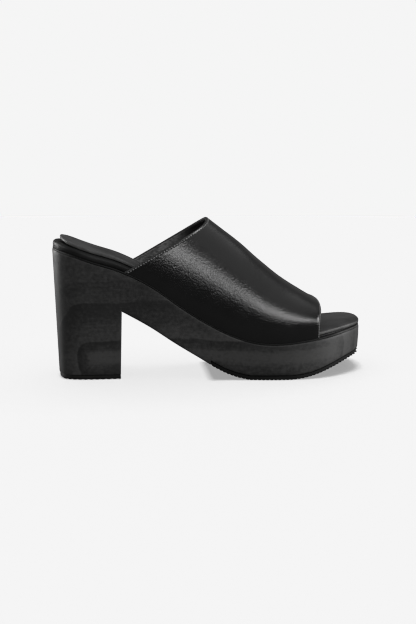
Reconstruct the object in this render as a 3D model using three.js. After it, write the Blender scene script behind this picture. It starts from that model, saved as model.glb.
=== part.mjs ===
// Platform mule for the right foot. A carved wooden sole with a block heel carries a rubber top piece under
// the heel, a rubber outsole under the forefoot, a thin rand on its upper edge, a wrapped footbed, a sock
// insole and one broad leather vamp, which is open at the throat, at the toe and underneath.
//
// Millimetres. +X runs from heel to toe, +Y to the inner side of the foot, +Z up. The pieces are worked out
// from the back of the heel, and the group then puts the origin on the floor under the middle of the shoe.

import * as THREE from "three";
import { mergeVertices } from "three/addons/utils/BufferGeometryUtils.js";

// Sizes of the wooden sole
const SOLE_LENGTH = 240.5;
const BALL_WIDTH = 87;
const HEEL_HEIGHT = 97.3;
const PLATFORM_HEIGHT = 26;
const TOE_SPRING = 13.6;
const HEEL_LENGTH = 50.6;
const HEEL_BACK_RAKE = 2.6;
const HEEL_SIDE_TAPER = 7;
const HEEL_BREAST_RAKE = 1.6;
const HEEL_BLEND = 42;
const PLATFORM_SIDE_TAPER = 1.4;
const WOOD_EDGE_RADIUS = 0.9;

// Sizes of the rubber
const TOP_PIECE_THICKNESS = 3.2;
const TOP_PIECE_INSET = 0.5;
const OUTSOLE_THICKNESS = 2.8;
const OUTSOLE_INSET = 0.5;
const OUTSOLE_START = 115.8;

// Sizes of the layers that the foot stands on
const RAND_THICKNESS = 0.9;
const RAND_INSET = 0.35;
const FOOTBED_HEEL_THICKNESS = 5.6;
const FOOTBED_TOE_THICKNESS = 0.8;
const FOOTBED_EDGE_RADIUS = 2.8;
const FOOTBED_HEEL_INSET = 0.6;
const FOOTBED_NARROWS_FROM = 16;
const FOOTBED_THINS_TO = 150;
const INSOLE_THICKNESS = 2.1;
const INSOLE_EDGE_RADIUS = 0.9;
const INSOLE_BACK_GAP = 5.4;
const INSOLE_SIDE_GAP = 1.2;
const INSOLE_TOE_INSET = 0.2;
const INSOLE_CURL = 3.4;
const INSOLE_CURL_LENGTH = 24;

// Sizes of the vamp
const LEATHER_THICKNESS = 2;
const INSTEP_RISE = 79;
const TOE_OPENING = 37;
const VAMP_LENGTH = 87.2;
const VAMP_FRONT_BOW = 6;
const VAMP_BASE_INSET = 0.5;
const THROAT_ANGLE = 29.3;
const THROAT_INNER_DROP = 6.5;
const THROAT_OUTER_DROP = 1.7;
const THROAT_OUTER_DIP = 2.6;

// How far pieces that meet stay apart
const CLEARANCE = 0.3;

// Half a turn, and how far the vamp's section runs on under its widest line on each side, in radians
const HALF_TURN = Math.PI;
const TUCK = 0.35;
// How square the vamp's front edge bows, and how much a leaning wall takes up across for each of its lengths
const FRONT_BOW_POWER = 1.5;
const WALL_SLANT = 1.15;
// The largest share of a layer's thickness that its rounded edge may take
const LARGEST_ROUNDING = 0.6;

// The outline of the wood seen from above. turn runs from 0 at the back of the heel to 180 at the tip of the
// toe, like the angle round an ellipse. outer and inner are shares of the ball width, from the middle line.
const OUTLINE = [
  { turn: 0, outer: 0, inner: 0 },
  { turn: 15, outer: -0.235, inner: 0.235 },
  { turn: 30, outer: -0.335, inner: 0.335 },
  { turn: 45, outer: -0.355, inner: 0.352 },
  { turn: 60, outer: -0.356, inner: 0.345 },
  { turn: 75, outer: -0.362, inner: 0.33 },
  { turn: 90, outer: -0.405, inner: 0.338 },
  { turn: 105, outer: -0.472, inner: 0.408 },
  { turn: 120, outer: -0.49, inner: 0.487 },
  { turn: 135, outer: -0.414, inner: 0.478 },
  { turn: 150, outer: -0.262, inner: 0.412 },
  { turn: 165, outer: -0.095, inner: 0.33 },
  { turn: 180, outer: 0.17, inner: 0.17 },
];

// The upper edge of the wood. along is a share of the sole's length, heel a share of the rise from platform
// to heel height, and spring a share of the toe spring.
const SEAT_LINE = [
  { along: 0, heel: 1, spring: 0 },
  { along: 0.059, heel: 0.941, spring: 0 },
  { along: 0.134, heel: 0.854, spring: 0 },
  { along: 0.188, heel: 0.798, spring: 0 },
  { along: 0.247, heel: 0.713, spring: 0 },
  { along: 0.301, heel: 0.614, spring: 0 },
  { along: 0.359, heel: 0.473, spring: 0 },
  { along: 0.422, heel: 0.324, spring: 0 },
  { along: 0.498, heel: 0.173, spring: 0 },
  { along: 0.554, heel: 0.086, spring: 0 },
  { along: 0.604, heel: 0.035, spring: 0 },
  { along: 0.658, heel: 0.008, spring: 0.01 },
  { along: 0.72, heel: 0, spring: 0.078 },
  { along: 0.795, heel: 0, spring: 0.214 },
  { along: 0.861, heel: 0, spring: 0.353 },
  { along: 0.93, heel: 0, spring: 0.5 },
  { along: 1, heel: 0, spring: 0.61 },
];

// The line that the sole walks on, with the same columns. It is level under the ball of the foot.
const WALKING_LINE = [
  { along: 0.2, heel: 0.748, spring: 0 },
  { along: 0.298, heel: 0.558, spring: 0 },
  { along: 0.371, heel: 0.394, spring: 0 },
  { along: 0.445, heel: 0.237, spring: 0 },
  { along: 0.505, heel: 0.113, spring: 0 },
  { along: 0.539, heel: 0.058, spring: 0 },
  { along: 0.574, heel: 0.02, spring: 0 },
  { along: 0.61, heel: 0, spring: 0 },
  { along: 0.725, heel: 0, spring: 0 },
  { along: 0.757, heel: 0, spring: 0.03 },
  { along: 0.792, heel: 0, spring: 0.117 },
  { along: 0.821, heel: 0, spring: 0.236 },
  { along: 0.864, heel: 0, spring: 0.458 },
  { along: 0.911, heel: 0, spring: 0.69 },
  { along: 0.95, heel: 0, spring: 0.855 },
  { along: 1, heel: 0, spring: 1 },
];

// Sections of the vamp. along is a share of the sole's length, and rise and hip are heights over the seat as
// shares of the instep rise: of the ridge, and of the widest line. ridge and bulge are shares of the ball
// width: the ridge's way to the inner side, and how far the widest line stands out past the wood. fullness
// is 2 for an ellipse and more for a squarer arch.
const VAMP_SECTIONS = [
  { along: 0.188, rise: 1.01, fullness: 2.1, ridge: 0.023, bulge: 0.012, hip: 0.13 },
  { along: 0.317, rise: 1.02, fullness: 2.1, ridge: 0.029, bulge: 0.015, hip: 0.14 },
  { along: 0.416, rise: 1.03, fullness: 2.1, ridge: 0.034, bulge: 0.018, hip: 0.15 },
  { along: 0.499, rise: 0.998, fullness: 2.1, ridge: 0.04, bulge: 0.018, hip: 0.152 },
  { along: 0.537, rise: 0.966, fullness: 2.1, ridge: 0.04, bulge: 0.016, hip: 0.152 },
  { along: 0.596, rise: 0.889, fullness: 2.12, ridge: 0.04, bulge: 0.012, hip: 0.145 },
  { along: 0.635, rise: 0.807, fullness: 2.14, ridge: 0.04, bulge: 0.009, hip: 0.14 },
  { along: 0.675, rise: 0.711, fullness: 2.18, ridge: 0.046, bulge: 0.007, hip: 0.133 },
  { along: 0.715, rise: 0.607, fullness: 2.22, ridge: 0.046, bulge: 0.006, hip: 0.127 },
  { along: 0.776, rise: 0.466, fullness: 2.26, ridge: 0.052, bulge: 0.004, hip: 0.12 },
  { along: 0.836, rise: 0.338, fullness: 2.3, ridge: 0.057, bulge: 0.003, hip: 0.114 },
  { along: 0.866, rise: 0.282, fullness: 2.3, ridge: 0.057, bulge: 0.003, hip: 0.11 },
];

// Facets: sections along a piece, strips across it, and steps round an edge
const SOLE_STATIONS = 44;
const OUTSOLE_STATIONS = 26;
const TOP_PIECE_STATIONS = 15;
const LAYER_STATIONS = 42;
const TOP_STRIPS = 6;
const LAYER_STRIPS = 4;
const WALL_STRIPS = 3;
const HEEL_WALL_STRIPS = 4;
const FOOT_SHARES = [0.5, 0, -0.5];
const EDGE_BAND_END = 0.7;
const CORNER_STEPS = 3;
const VAMP_ROUND_STEPS = 40;
const VAMP_LONG_STEPS = 24;
// No section lies this close to a step in the sole, and the two sections that make a step lie a sliver apart
const CLEAR_OF_STEP = 2;
const STEP_SLIVER = 0.02;
// Where the search for the throat's cut starts, as shares of the sole's length, and how often it halves
const SEARCH_FROM = 0.15;
const SEARCH_PAST_RIDGE = 0.08;
const SEARCH_STEPS = 30;
// Small moves that slopes are measured over, in degrees of turn and in millimetres or radians
const TURN_NUDGE = 0.05;
const SLOPE_NUDGE = 0.01;
const MERGE_DISTANCE = 1e-4;

/** A smooth curve through one column of a table: its natural cubic spline over the table's first key. */
function smoothColumn(rows, along, column) {
  const x = rows.map((row) => row[along]);
  const y = rows.map((row) => row[column]);
  const last = x.length - 1;
  const bend = new Array(last + 1).fill(0);
  const carry = new Array(last + 1).fill(0);
  for (let i = 1; i < last; i += 1) {
    const before = x[i] - x[i - 1];
    const after = x[i + 1] - x[i];
    const kink = (y[i + 1] - y[i]) / after - (y[i] - y[i - 1]) / before;
    const weight = 2 * (before + after) - before * carry[i - 1];
    carry[i] = after / weight;
    bend[i] = (6 * kink - before * bend[i - 1]) / weight;
  }
  for (let i = last - 1; i > 0; i -= 1) {
    bend[i] -= carry[i] * bend[i + 1];
  }
  return (at) => {
    let i = 0;
    while (i < last - 1 && at > x[i + 1]) {
      i += 1;
    }
    const step = x[i + 1] - x[i];
    const b = (at - x[i]) / step;
    const a = 1 - b;
    const curved = ((a ** 3 - a) * bend[i] + (b ** 3 - b) * bend[i + 1]) * (step ** 2 / 6);
    return a * y[i] + b * y[i + 1] + curved;
  };
}

/** A curve through one column that never passes beyond its rows, so that a level stretch stays level. */
function steadyColumn(rows, along, column) {
  const x = rows.map((row) => row[along]);
  const y = rows.map((row) => row[column]);
  const last = x.length - 1;
  const rise = (i) => (y[i + 1] - y[i]) / (x[i + 1] - x[i]);
  const slope = x.map((_, i) => {
    if (i === 0 || i === last) {
      return rise(Math.min(i, last - 1));
    }
    const turned = rise(i - 1) * rise(i) <= 0;
    return turned ? 0 : (2 * rise(i - 1) * rise(i)) / (rise(i - 1) + rise(i));
  });
  return (at) => {
    let i = 0;
    while (i < last - 1 && at > x[i + 1]) {
      i += 1;
    }
    const step = x[i + 1] - x[i];
    const t = THREE.MathUtils.clamp((at - x[i]) / step, 0, 1);
    const stay = 2 * t ** 3 - 3 * t ** 2 + 1;
    const lean = (t ** 3 - 2 * t ** 2 + t) * slope[i] + (t ** 3 - t ** 2) * slope[i + 1];
    return y[i] * stay + y[i + 1] * (1 - stay) + lean * step;
  };
}

const outlineOuter = smoothColumn(OUTLINE, "turn", "outer");
const outlineInner = smoothColumn(OUTLINE, "turn", "inner");
const seatHeel = smoothColumn(SEAT_LINE, "along", "heel");
const seatSpring = smoothColumn(SEAT_LINE, "along", "spring");
const walkHeel = steadyColumn(WALKING_LINE, "along", "heel");
const walkSpring = steadyColumn(WALKING_LINE, "along", "spring");
const vampColumn = {
  rise: smoothColumn(VAMP_SECTIONS, "along", "rise"),
  fullness: smoothColumn(VAMP_SECTIONS, "along", "fullness"),
  ridge: smoothColumn(VAMP_SECTIONS, "along", "ridge"),
  bulge: smoothColumn(VAMP_SECTIONS, "along", "bulge"),
  hip: smoothColumn(VAMP_SECTIONS, "along", "hip"),
};

/** 0 up to low, 1 from high on, and smooth between. */
function ease(value, low, high) {
  return THREE.MathUtils.smoothstep(value, low, high);
}

/** Distance from the back of the heel at a turn, and the turn at a distance. */
function distanceOf(turn) {
  return (SOLE_LENGTH * (1 - Math.cos(THREE.MathUtils.degToRad(turn)))) / 2;
}

function turnOf(distance) {
  const cosine = THREE.MathUtils.clamp(1 - (2 * distance) / SOLE_LENGTH, -1, 1);
  return THREE.MathUtils.radToDeg(Math.acos(cosine));
}

/** Height of the wood's upper edge over the floor, at a distance from the back of the heel. */
function seatHeight(distance) {
  const along = distance / SOLE_LENGTH;
  return PLATFORM_HEIGHT + (HEEL_HEIGHT - PLATFORM_HEIGHT) * seatHeel(along) + TOE_SPRING * seatSpring(along);
}

/** Height of the line that the sole walks on. */
function walkHeight(distance) {
  const along = distance / SOLE_LENGTH;
  return (HEEL_HEIGHT - PLATFORM_HEIGHT) * walkHeel(along) + TOE_SPRING * walkSpring(along);
}

/** The outline's point at a turn. side is 1 for the inner side and -1 for the outer side. */
function outlinePoint(turn, side) {
  const share = side > 0 ? outlineInner(turn) : outlineOuter(turn);
  return new THREE.Vector2(distanceOf(turn), share * BALL_WIDTH);
}

/** The outline's point moved in: by one length where it faces along the shoe, by the other where across. */
function insetPoint(turn, side, insetAlong, insetAcross) {
  const before = outlinePoint(turn - TURN_NUDGE, side);
  const after = outlinePoint(turn + TURN_NUDGE, side);
  const point = outlinePoint(turn, side);
  const tangent = after.sub(before).normalize();
  const outwards = new THREE.Vector2(-tangent.y * side, tangent.x * side);
  if (turn < TURN_NUDGE || turn > 180 - TURN_NUDGE) {
    outwards.set(turn < TURN_NUDGE ? -1 : 1, 0);
  }
  point.x -= outwards.x * insetAlong;
  point.y -= outwards.y * insetAcross;
  return point;
}

/** A point between the outer side, at -1, and the inner side, at 1. */
function acrossPoint(turn, share, insetAlong, insetAcross) {
  const outer = insetPoint(turn, -1, insetAlong, insetAcross);
  const inner = insetPoint(turn, 1, insetAlong, insetAcross);
  return outer.lerp(inner, (share + 1) / 2);
}

/** Evenly spaced numbers from first to last. */
function spread(first, last, steps) {
  return Array.from({ length: steps + 1 }, (_, i) => first + ((last - first) * i) / steps);
}

/**
 * A closed body from rings with equally many points. An end ring that is drawn to a line closes by itself.
 * Any other end is filled: its points then lie in pairs, the first with the last and so on inwards.
 */
function ringBody(rings, filledEnds = false) {
  const size = rings[0].length;
  const corners = rings.flat().flatMap((point) => [point.x, point.y, point.z]);
  const faces = [];
  for (let i = 0; i + 1 < rings.length; i += 1) {
    for (let j = 0; j < size; j += 1) {
      const a = i * size + j;
      const b = i * size + ((j + 1) % size);
      faces.push([a, a + size, b + size], [a, b + size, b]);
    }
  }
  const lastRing = (rings.length - 1) * size;
  const pairs = filledEnds ? size / 2 - 1 : 0;
  for (let j = 0; j < pairs; j += 1) {
    const k = size - 1 - j;
    const a = lastRing + j;
    const b = lastRing + k;
    faces.push([j, j + 1, k - 1], [j, k - 1, k], [a, b - 1, a + 1], [a, b, b - 1]);
  }
  return closedBody(corners, faces);
}

/** A geometry from corners and faces, with corners that coincide merged and faces without area dropped. */
function closedBody(corners, faces) {
  const loose = new THREE.BufferGeometry();
  loose.setAttribute("position", new THREE.Float32BufferAttribute(corners, 3));
  loose.setIndex(faces.flat());
  const merged = mergeVertices(loose, MERGE_DISTANCE);
  const index = Array.from(merged.index.array);
  const kept = [];
  for (let i = 0; i < index.length; i += 3) {
    const [a, b, c] = index.slice(i, i + 3);
    if (a !== b && b !== c && c !== a) {
      kept.push(a, b, c);
    }
  }
  merged.setIndex(kept);
  merged.computeVertexNormals();
  return merged;
}

/** The share of the heel's taper at a point: 0 at the seat or ahead of the waist, 1 at the heel's foot. */
function heelShare(distance, height) {
  const back = 1 - ease(distance, HEEL_LENGTH, HEEL_LENGTH + HEEL_BLEND);
  return back * THREE.MathUtils.clamp(1 - height / HEEL_HEIGHT, 0, 1);
}

/** A point of the wooden wall, or between its two sides. extra moves it further in. */
function woodPoint(turn, share, height, extra) {
  const distance = distanceOf(turn);
  const heel = heelShare(distance, height);
  const fore = ease(distance, HEEL_LENGTH, HEEL_LENGTH + HEEL_BLEND);
  const low = fore * THREE.MathUtils.clamp(1 - height / PLATFORM_HEIGHT, 0, 1) * PLATFORM_SIDE_TAPER;
  const along = HEEL_BACK_RAKE * heel + low + extra;
  const across = HEEL_SIDE_TAPER * heel + low + extra;
  const point = acrossPoint(turn, share, along, across);
  return new THREE.Vector3(point.x, point.y, height);
}

/** Steps round a quarter of an edge: how far in, and how far towards the wall, as shares of the radius. */
function cornerSteps() {
  return spread(0, HALF_TURN / 2, CORNER_STEPS).map((angle) => ({
    inward: 1 - Math.sin(angle),
    down: 1 - Math.cos(angle),
  }));
}

/** One section of the wooden sole. inHeel says whether the section goes down the block heel. */
function woodRing(distance, inHeel) {
  const turn = turnOf(distance);
  const top = seatHeight(distance);
  const breastTop = walkHeight(HEEL_LENGTH);
  const rubber = distance > OUTSOLE_START ? OUTSOLE_THICKNESS + CLEARANCE : 0;
  const low = inHeel ? TOP_PIECE_THICKNESS + CLEARANCE : walkHeight(distance) + rubber;
  const middle = (inHeel ? breastTop : low) + WOOD_EDGE_RADIUS;
  const place = (share, height, extra) => {
    const point = woodPoint(turn, share, height, extra);
    if (inHeel && height < breastTop) {
      point.x -= HEEL_BREAST_RAKE * (1 - height / breastTop) * (distance / HEEL_LENGTH) ** 2;
    }
    return point;
  };
  const edge = cornerSteps().map((step) => ({
    extra: step.inward * WOOD_EDGE_RADIUS,
    height: top - step.down * WOOD_EDGE_RADIUS,
  }));
  const wall = spread(edge.at(-1).height, middle, WALL_STRIPS).slice(1);
  const inner = edge.map((point) => place(1, point.height, point.extra));
  inner.push(...wall.map((height) => place(1, height, 0)));
  const outer = edge.map((point) => place(-1, point.height, point.extra));
  outer.push(...wall.map((height) => place(-1, height, 0)));
  const across = spread(-1, 1, TOP_STRIPS).slice(1, -1);
  const upper = across.map((share) => place(share, top, WOOD_EDGE_RADIUS));
  const lowerWall = spread(middle, low, HEEL_WALL_STRIPS).slice(1);
  let lower;
  if (inHeel) {
    lower = [
      ...lowerWall.map((height) => place(1, height, 0)),
      ...FOOT_SHARES.map((share) => place(share, low, 0)),
      ...lowerWall.toReversed().map((height) => place(-1, height, 0)),
    ];
  } else {
    const inwards = spread(1, EDGE_BAND_END, HEEL_WALL_STRIPS - 1);
    const shares = [...inwards, ...FOOT_SHARES, ...inwards.toReversed().map((share) => -share)];
    lower = shares.map((share) => place(share, low, WOOD_EDGE_RADIUS / 2));
  }
  return [...upper, ...inner, ...lower, ...outer.toReversed()];
}

/** The carved wooden sole: platform, waist and block heel in one. */
function woodenSole() {
  const distances = spread(0, 180, SOLE_STATIONS).map(distanceOf);
  const steps = [HEEL_LENGTH, OUTSOLE_START];
  const isClear = (distance) => steps.every((step) => Math.abs(distance - step) > CLEAR_OF_STEP);
  const clear = distances.filter(isClear);
  const sections = clear.map((distance) => ({ distance, inHeel: distance < HEEL_LENGTH }));
  sections.push({ distance: HEEL_LENGTH, inHeel: true });
  sections.push({ distance: HEEL_LENGTH, inHeel: false });
  sections.push({ distance: OUTSOLE_START - STEP_SLIVER, inHeel: false });
  sections.push({ distance: OUTSOLE_START + STEP_SLIVER, inHeel: false });
  sections.sort((a, b) => a.distance - b.distance || Number(b.inHeel) - Number(a.inHeel));
  return ringBody(sections.map((section) => woodRing(section.distance, section.inHeel)));
}

/** The rubber top piece under the heel. */
function heelTopPiece() {
  const lastTurn = turnOf(HEEL_LENGTH);
  const rings = spread(0, lastTurn, TOP_PIECE_STATIONS).map((turn) => {
    const rake = HEEL_BREAST_RAKE * (distanceOf(turn) / HEEL_LENGTH) ** 2;
    const place = (share, height, extra) => {
      const point = woodPoint(turn, share, height, extra);
      point.x -= rake;
      return point;
    };
    const shares = spread(-1, 1, LAYER_STRIPS);
    const upper = shares.map((share) => place(share, TOP_PIECE_THICKNESS, TOP_PIECE_INSET));
    const lower = shares.toReversed().map((share) => place(share, 0, TOP_PIECE_INSET));
    return [...upper, ...lower];
  });
  return ringBody(rings, true);
}

/** The rubber outsole under the forefoot, which starts with a step in the waist. */
function forefootOutsole() {
  const firstTurn = turnOf(OUTSOLE_START + CLEARANCE);
  const rings = spread(firstTurn, 180, OUTSOLE_STATIONS).map((turn) => {
    const low = walkHeight(distanceOf(turn));
    const high = low + OUTSOLE_THICKNESS;
    const shares = spread(-1, 1, TOP_STRIPS);
    const upper = shares.map((share) => woodPoint(turn, share, high, OUTSOLE_INSET));
    const lower = shares.toReversed().map((share) => woodPoint(turn, share, low, 2 * OUTSOLE_INSET));
    return [...upper, ...lower];
  });
  return ringBody(rings, true);
}

/** How far in from the wood's edge a layer has to be to clear the vamp's wall. */
const UNDER_VAMP_INSET = VAMP_BASE_INSET + WALL_SLANT * LEATHER_THICKNESS + CLEARANCE;

/** Where the front edge and the throat cross the ridge, from the back of the heel. */
const FRONT_AT_RIDGE = SOLE_LENGTH - TOE_OPENING;
const THROAT_AT_RIDGE = FRONT_AT_RIDGE - VAMP_LENGTH;

/** Thickness of the footbed, which thins towards the toe. */
function footbedThickness(distance) {
  const thin = ease(distance, HEEL_LENGTH, FOOTBED_THINS_TO);
  return FOOTBED_HEEL_THICKNESS + (FOOTBED_TOE_THICKNESS - FOOTBED_HEEL_THICKNESS) * thin;
}

/** Heights over the seat of the undersides of the rand, and of the footbed and the vamp. */
const RAND_LOW = CLEARANCE;
const FOOTBED_LOW = RAND_LOW + RAND_THICKNESS + CLEARANCE;

/** Height over the seat of the insole's underside. Its back end curls up. */
function insoleLow(distance) {
  const curl = Math.max(1 - distance / INSOLE_CURL_LENGTH, 0) ** 2;
  return FOOTBED_LOW + footbedThickness(distance) + CLEARANCE + INSOLE_CURL * curl;
}

/** How far in from the wood's edge the footbed lies: little at the heel, and clear of the vamp further on. */
function footbedInset(distance) {
  const narrowed = ease(distance, FOOTBED_NARROWS_FROM, HEEL_LENGTH - HEEL_BACK_RAKE);
  return FOOTBED_HEEL_INSET + (UNDER_VAMP_INSET - FOOTBED_HEEL_INSET) * narrowed;
}

/** A layer that follows the seat between two heights over it. radius rounds its upper edge. */
function layer(lowOver, highOver, insetAlong, insetAcross, radiusAt) {
  const rings = spread(0, 180, LAYER_STATIONS).map((turn) => {
    const distance = distanceOf(turn);
    const radius = Math.min(radiusAt, LARGEST_ROUNDING * (highOver(distance) - lowOver(distance)));
    const place = (share, height, extra) => {
      const point = acrossPoint(turn, share, insetAlong(distance) + extra, insetAcross(distance) + extra);
      return new THREE.Vector3(point.x, point.y, seatHeight(point.x) + height(point.x));
    };
    const corner = cornerSteps();
    const side = (share) => corner.map((step) => {
      const height = (x) => highOver(x) - step.down * radius;
      return place(share, height, step.inward * radius);
    });
    const shares = spread(-1, 1, LAYER_STRIPS).slice(1, -1);
    const upper = shares.map((share) => place(share, highOver, radius));
    const lower = spread(1, -1, LAYER_STRIPS).map((share) => place(share, lowOver, 0));
    return [...upper, ...side(1), ...lower, ...side(-1).toReversed()];
  });
  return ringBody(rings);
}

/** The thin rand, which lies on the wood's upper edge. */
function rand() {
  const inset = () => RAND_INSET;
  const high = () => RAND_LOW + RAND_THICKNESS;
  return layer(() => RAND_LOW, high, inset, inset, RAND_INSET);
}

/** The wrapped footbed under the insole. */
function footbed() {
  const high = (distance) => FOOTBED_LOW + footbedThickness(distance);
  return layer(() => FOOTBED_LOW, high, footbedInset, footbedInset, FOOTBED_EDGE_RADIUS);
}

/** The sock insole, which comes out to the wood's edge at the open toe. */
function insole() {
  const front = (distance) => ease(distance, FRONT_AT_RIDGE, SOLE_LENGTH - INSOLE_TOE_INSET);
  const back = (distance) => 1 - ease(distance, 0, HEEL_LENGTH);
  const side = (distance) => footbedInset(distance) + INSOLE_SIDE_GAP;
  const tapered = (distance) => side(distance) + (INSOLE_TOE_INSET - side(distance)) * front(distance);
  const along = (distance) => tapered(distance) + (INSOLE_BACK_GAP - INSOLE_SIDE_GAP) * back(distance);
  const high = (distance) => insoleLow(distance) + INSOLE_THICKNESS;
  return layer(insoleLow, high, along, tapered, INSOLE_EDGE_RADIUS);
}

/** A point of the vamp's outer face. lean runs from -TUCK, the outer base, to HALF_TURN + TUCK, the inner. */
function vampPoint(distance, lean) {
  const at = (name) => vampColumn[name](distance / SOLE_LENGTH);
  const turn = turnOf(distance);
  const side = lean < HALF_TURN / 2 ? -1 : 1;
  const ridge = at("ridge") * BALL_WIDTH;
  const reach = Math.abs(outlinePoint(turn, side).y - ridge);
  const widest = reach + at("bulge") * BALL_WIDTH;
  const foot = reach - VAMP_BASE_INSET;
  const base = seatHeight(distance) + FOOTBED_LOW;
  const hip = at("hip") * INSTEP_RISE;
  const top = at("rise") * INSTEP_RISE + seatHeight(distance) - base;
  const angle = side < 0 ? lean : HALF_TURN - lean;
  if (angle < 0) {
    const tucked = -angle / TUCK;
    const out = widest - (widest - foot) * tucked ** 2;
    return new THREE.Vector3(distance, ridge + side * out, base + hip * (1 - tucked));
  }
  const power = 2 / at("fullness");
  const out = widest * Math.abs(Math.cos(angle)) ** power;
  const up = hip + (top - hip) * Math.sin(angle) ** power;
  return new THREE.Vector3(distance, ridge + side * out, base + up);
}

/** Height of the throat's cut at a point of the vamp: it falls to the back, and more on the inner side. */
function throatHeight(point) {
  const ridgeTop = vampPoint(THROAT_AT_RIDGE, HALF_TURN / 2).z;
  const slope = Math.tan(THREE.MathUtils.degToRad(THROAT_ANGLE));
  const inner = Math.max(point.y, 0) / (BALL_WIDTH / 2);
  const outer = Math.min(Math.max(-point.y, 0) / (BALL_WIDTH / 2), 1);
  const drop = THROAT_INNER_DROP * inner ** 2 + THROAT_OUTER_DROP * outer ** 2;
  const dip = THROAT_OUTER_DIP * Math.sin(HALF_TURN * outer);
  return ridgeTop - slope * (THROAT_AT_RIDGE - point.x) - drop - dip;
}

/** Where the throat's cut meets the vamp's face at a lean, found by halving. */
function throatDistance(lean) {
  let back = SEARCH_FROM * SOLE_LENGTH;
  let front = THROAT_AT_RIDGE + SEARCH_PAST_RIDGE * SOLE_LENGTH;
  for (let i = 0; i < SEARCH_STEPS; i += 1) {
    const middle = (back + front) / 2;
    const point = vampPoint(middle, lean);
    if (point.z > throatHeight(point)) {
      back = middle;
    } else {
      front = middle;
    }
  }
  return front;
}

/** Where the vamp's front edge lies at a lean: furthest forward at the ridge. */
function frontDistance(lean) {
  const over = Math.sin(THREE.MathUtils.clamp(lean, 0, HALF_TURN)) ** FRONT_BOW_POWER;
  return FRONT_AT_RIDGE - VAMP_FRONT_BOW * (1 - over);
}

/** The point of the vamp's inner face that lies one wall under an outer point. */
function innerVampPoint(distance, lean) {
  const ahead = vampPoint(distance + SLOPE_NUDGE, lean).sub(vampPoint(distance - SLOPE_NUDGE, lean));
  const low = Math.max(lean - SLOPE_NUDGE, -TUCK);
  const high = Math.min(lean + SLOPE_NUDGE, HALF_TURN + TUCK);
  const round = vampPoint(distance, high).sub(vampPoint(distance, low));
  const inwards = ahead.cross(round).normalize();
  const point = vampPoint(distance, lean);
  const moved = point.clone().addScaledVector(inwards, -LEATHER_THICKNESS);
  moved.z = Math.max(moved.z, seatHeight(moved.x) + FOOTBED_LOW);
  return moved;
}

/** The vamp: one band of leather with an outer and an inner face, open at throat, toe and underneath. */
function vamp() {
  const leans = spread(HALF_TURN + TUCK, -TUCK, VAMP_ROUND_STEPS);
  const rings = leans.map((lean) => {
    const run = spread(throatDistance(lean), frontDistance(lean), VAMP_LONG_STEPS);
    const outer = run.map((distance) => vampPoint(distance, lean));
    const inner = run.map((distance) => innerVampPoint(distance, lean));
    return [...outer, ...inner.toReversed()];
  });
  return ringBody(rings, true);
}

const finishes = {
  stainedWood: { color: 0x2a2928, roughness: 0.6, metalness: 0 },
  rubber: { color: 0x0d0d0e, roughness: 0.8, metalness: 0 },
  blackLeather: { color: 0x1a1a1b, roughness: 0.38, metalness: 0 },
  footbedLeather: { color: 0x121213, roughness: 0.5, metalness: 0 },
  insoleLeather: { color: 0x3a3a3b, roughness: 0.65, metalness: 0 },
};

const pieces = [
  { name: "wooden_sole", geometry: woodenSole(), finish: finishes.stainedWood },
  { name: "heel_top_piece", geometry: heelTopPiece(), finish: finishes.rubber },
  { name: "forefoot_outsole", geometry: forefootOutsole(), finish: finishes.rubber },
  { name: "rand", geometry: rand(), finish: finishes.footbedLeather },
  { name: "footbed", geometry: footbed(), finish: finishes.footbedLeather },
  { name: "insole", geometry: insole(), finish: finishes.insoleLeather },
  { name: "vamp", geometry: vamp(), finish: finishes.blackLeather },
];

const mule = new THREE.Group();
for (const piece of pieces) {
  const mesh = new THREE.Mesh(piece.geometry, new THREE.MeshStandardMaterial(piece.finish));
  mesh.name = piece.name;
  mule.add(mesh);
}
const extent = new THREE.Box3().setFromObject(mule);
const middle = extent.getCenter(new THREE.Vector3());
mule.position.set(-middle.x, -middle.y, -extent.min.z);

export default mule;
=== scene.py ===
"""Platform mule for the right foot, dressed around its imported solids.

The shapes follow the same sizes and tables of sections as the solids, with finer steps, rounded edges,
creases, stitches and ribs. Lengths are in millimetres from the back of the heel, +X to the toe, +Y to the
inner side and +Z up, until a mesh is made: that puts them in metres, where the solids are.
"""

from __future__ import annotations

import logging
import math
from dataclasses import dataclass, field
from enum import Enum
from typing import Callable, NamedTuple, Sequence

import bmesh
import bpy
import numpy as np
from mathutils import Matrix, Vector


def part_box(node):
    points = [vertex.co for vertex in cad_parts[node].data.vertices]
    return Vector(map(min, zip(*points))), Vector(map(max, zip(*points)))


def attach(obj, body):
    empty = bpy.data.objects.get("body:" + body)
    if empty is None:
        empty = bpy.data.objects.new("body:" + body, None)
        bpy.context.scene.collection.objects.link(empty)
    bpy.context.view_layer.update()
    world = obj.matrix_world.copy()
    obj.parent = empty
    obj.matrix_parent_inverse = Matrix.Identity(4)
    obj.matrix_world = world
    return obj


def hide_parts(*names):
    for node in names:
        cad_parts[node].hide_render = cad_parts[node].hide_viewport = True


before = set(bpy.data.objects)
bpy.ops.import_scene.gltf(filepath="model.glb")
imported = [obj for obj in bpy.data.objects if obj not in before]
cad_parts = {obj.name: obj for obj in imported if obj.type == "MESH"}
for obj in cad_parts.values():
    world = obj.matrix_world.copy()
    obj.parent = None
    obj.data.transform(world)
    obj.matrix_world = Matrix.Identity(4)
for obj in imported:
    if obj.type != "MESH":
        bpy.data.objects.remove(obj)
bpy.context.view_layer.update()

LOG = logging.getLogger("mule")
MM = 0.001
BODY = "root"
MERGE_M = 1e-6
SHARP_ANGLE = math.radians(38.0)
Array = np.ndarray
Colour = tuple[float, float, float, float]


class Side(Enum):
    """The two sides of the shoe, as the sign of Y."""

    OUTER = -1
    INNER = 1


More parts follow.
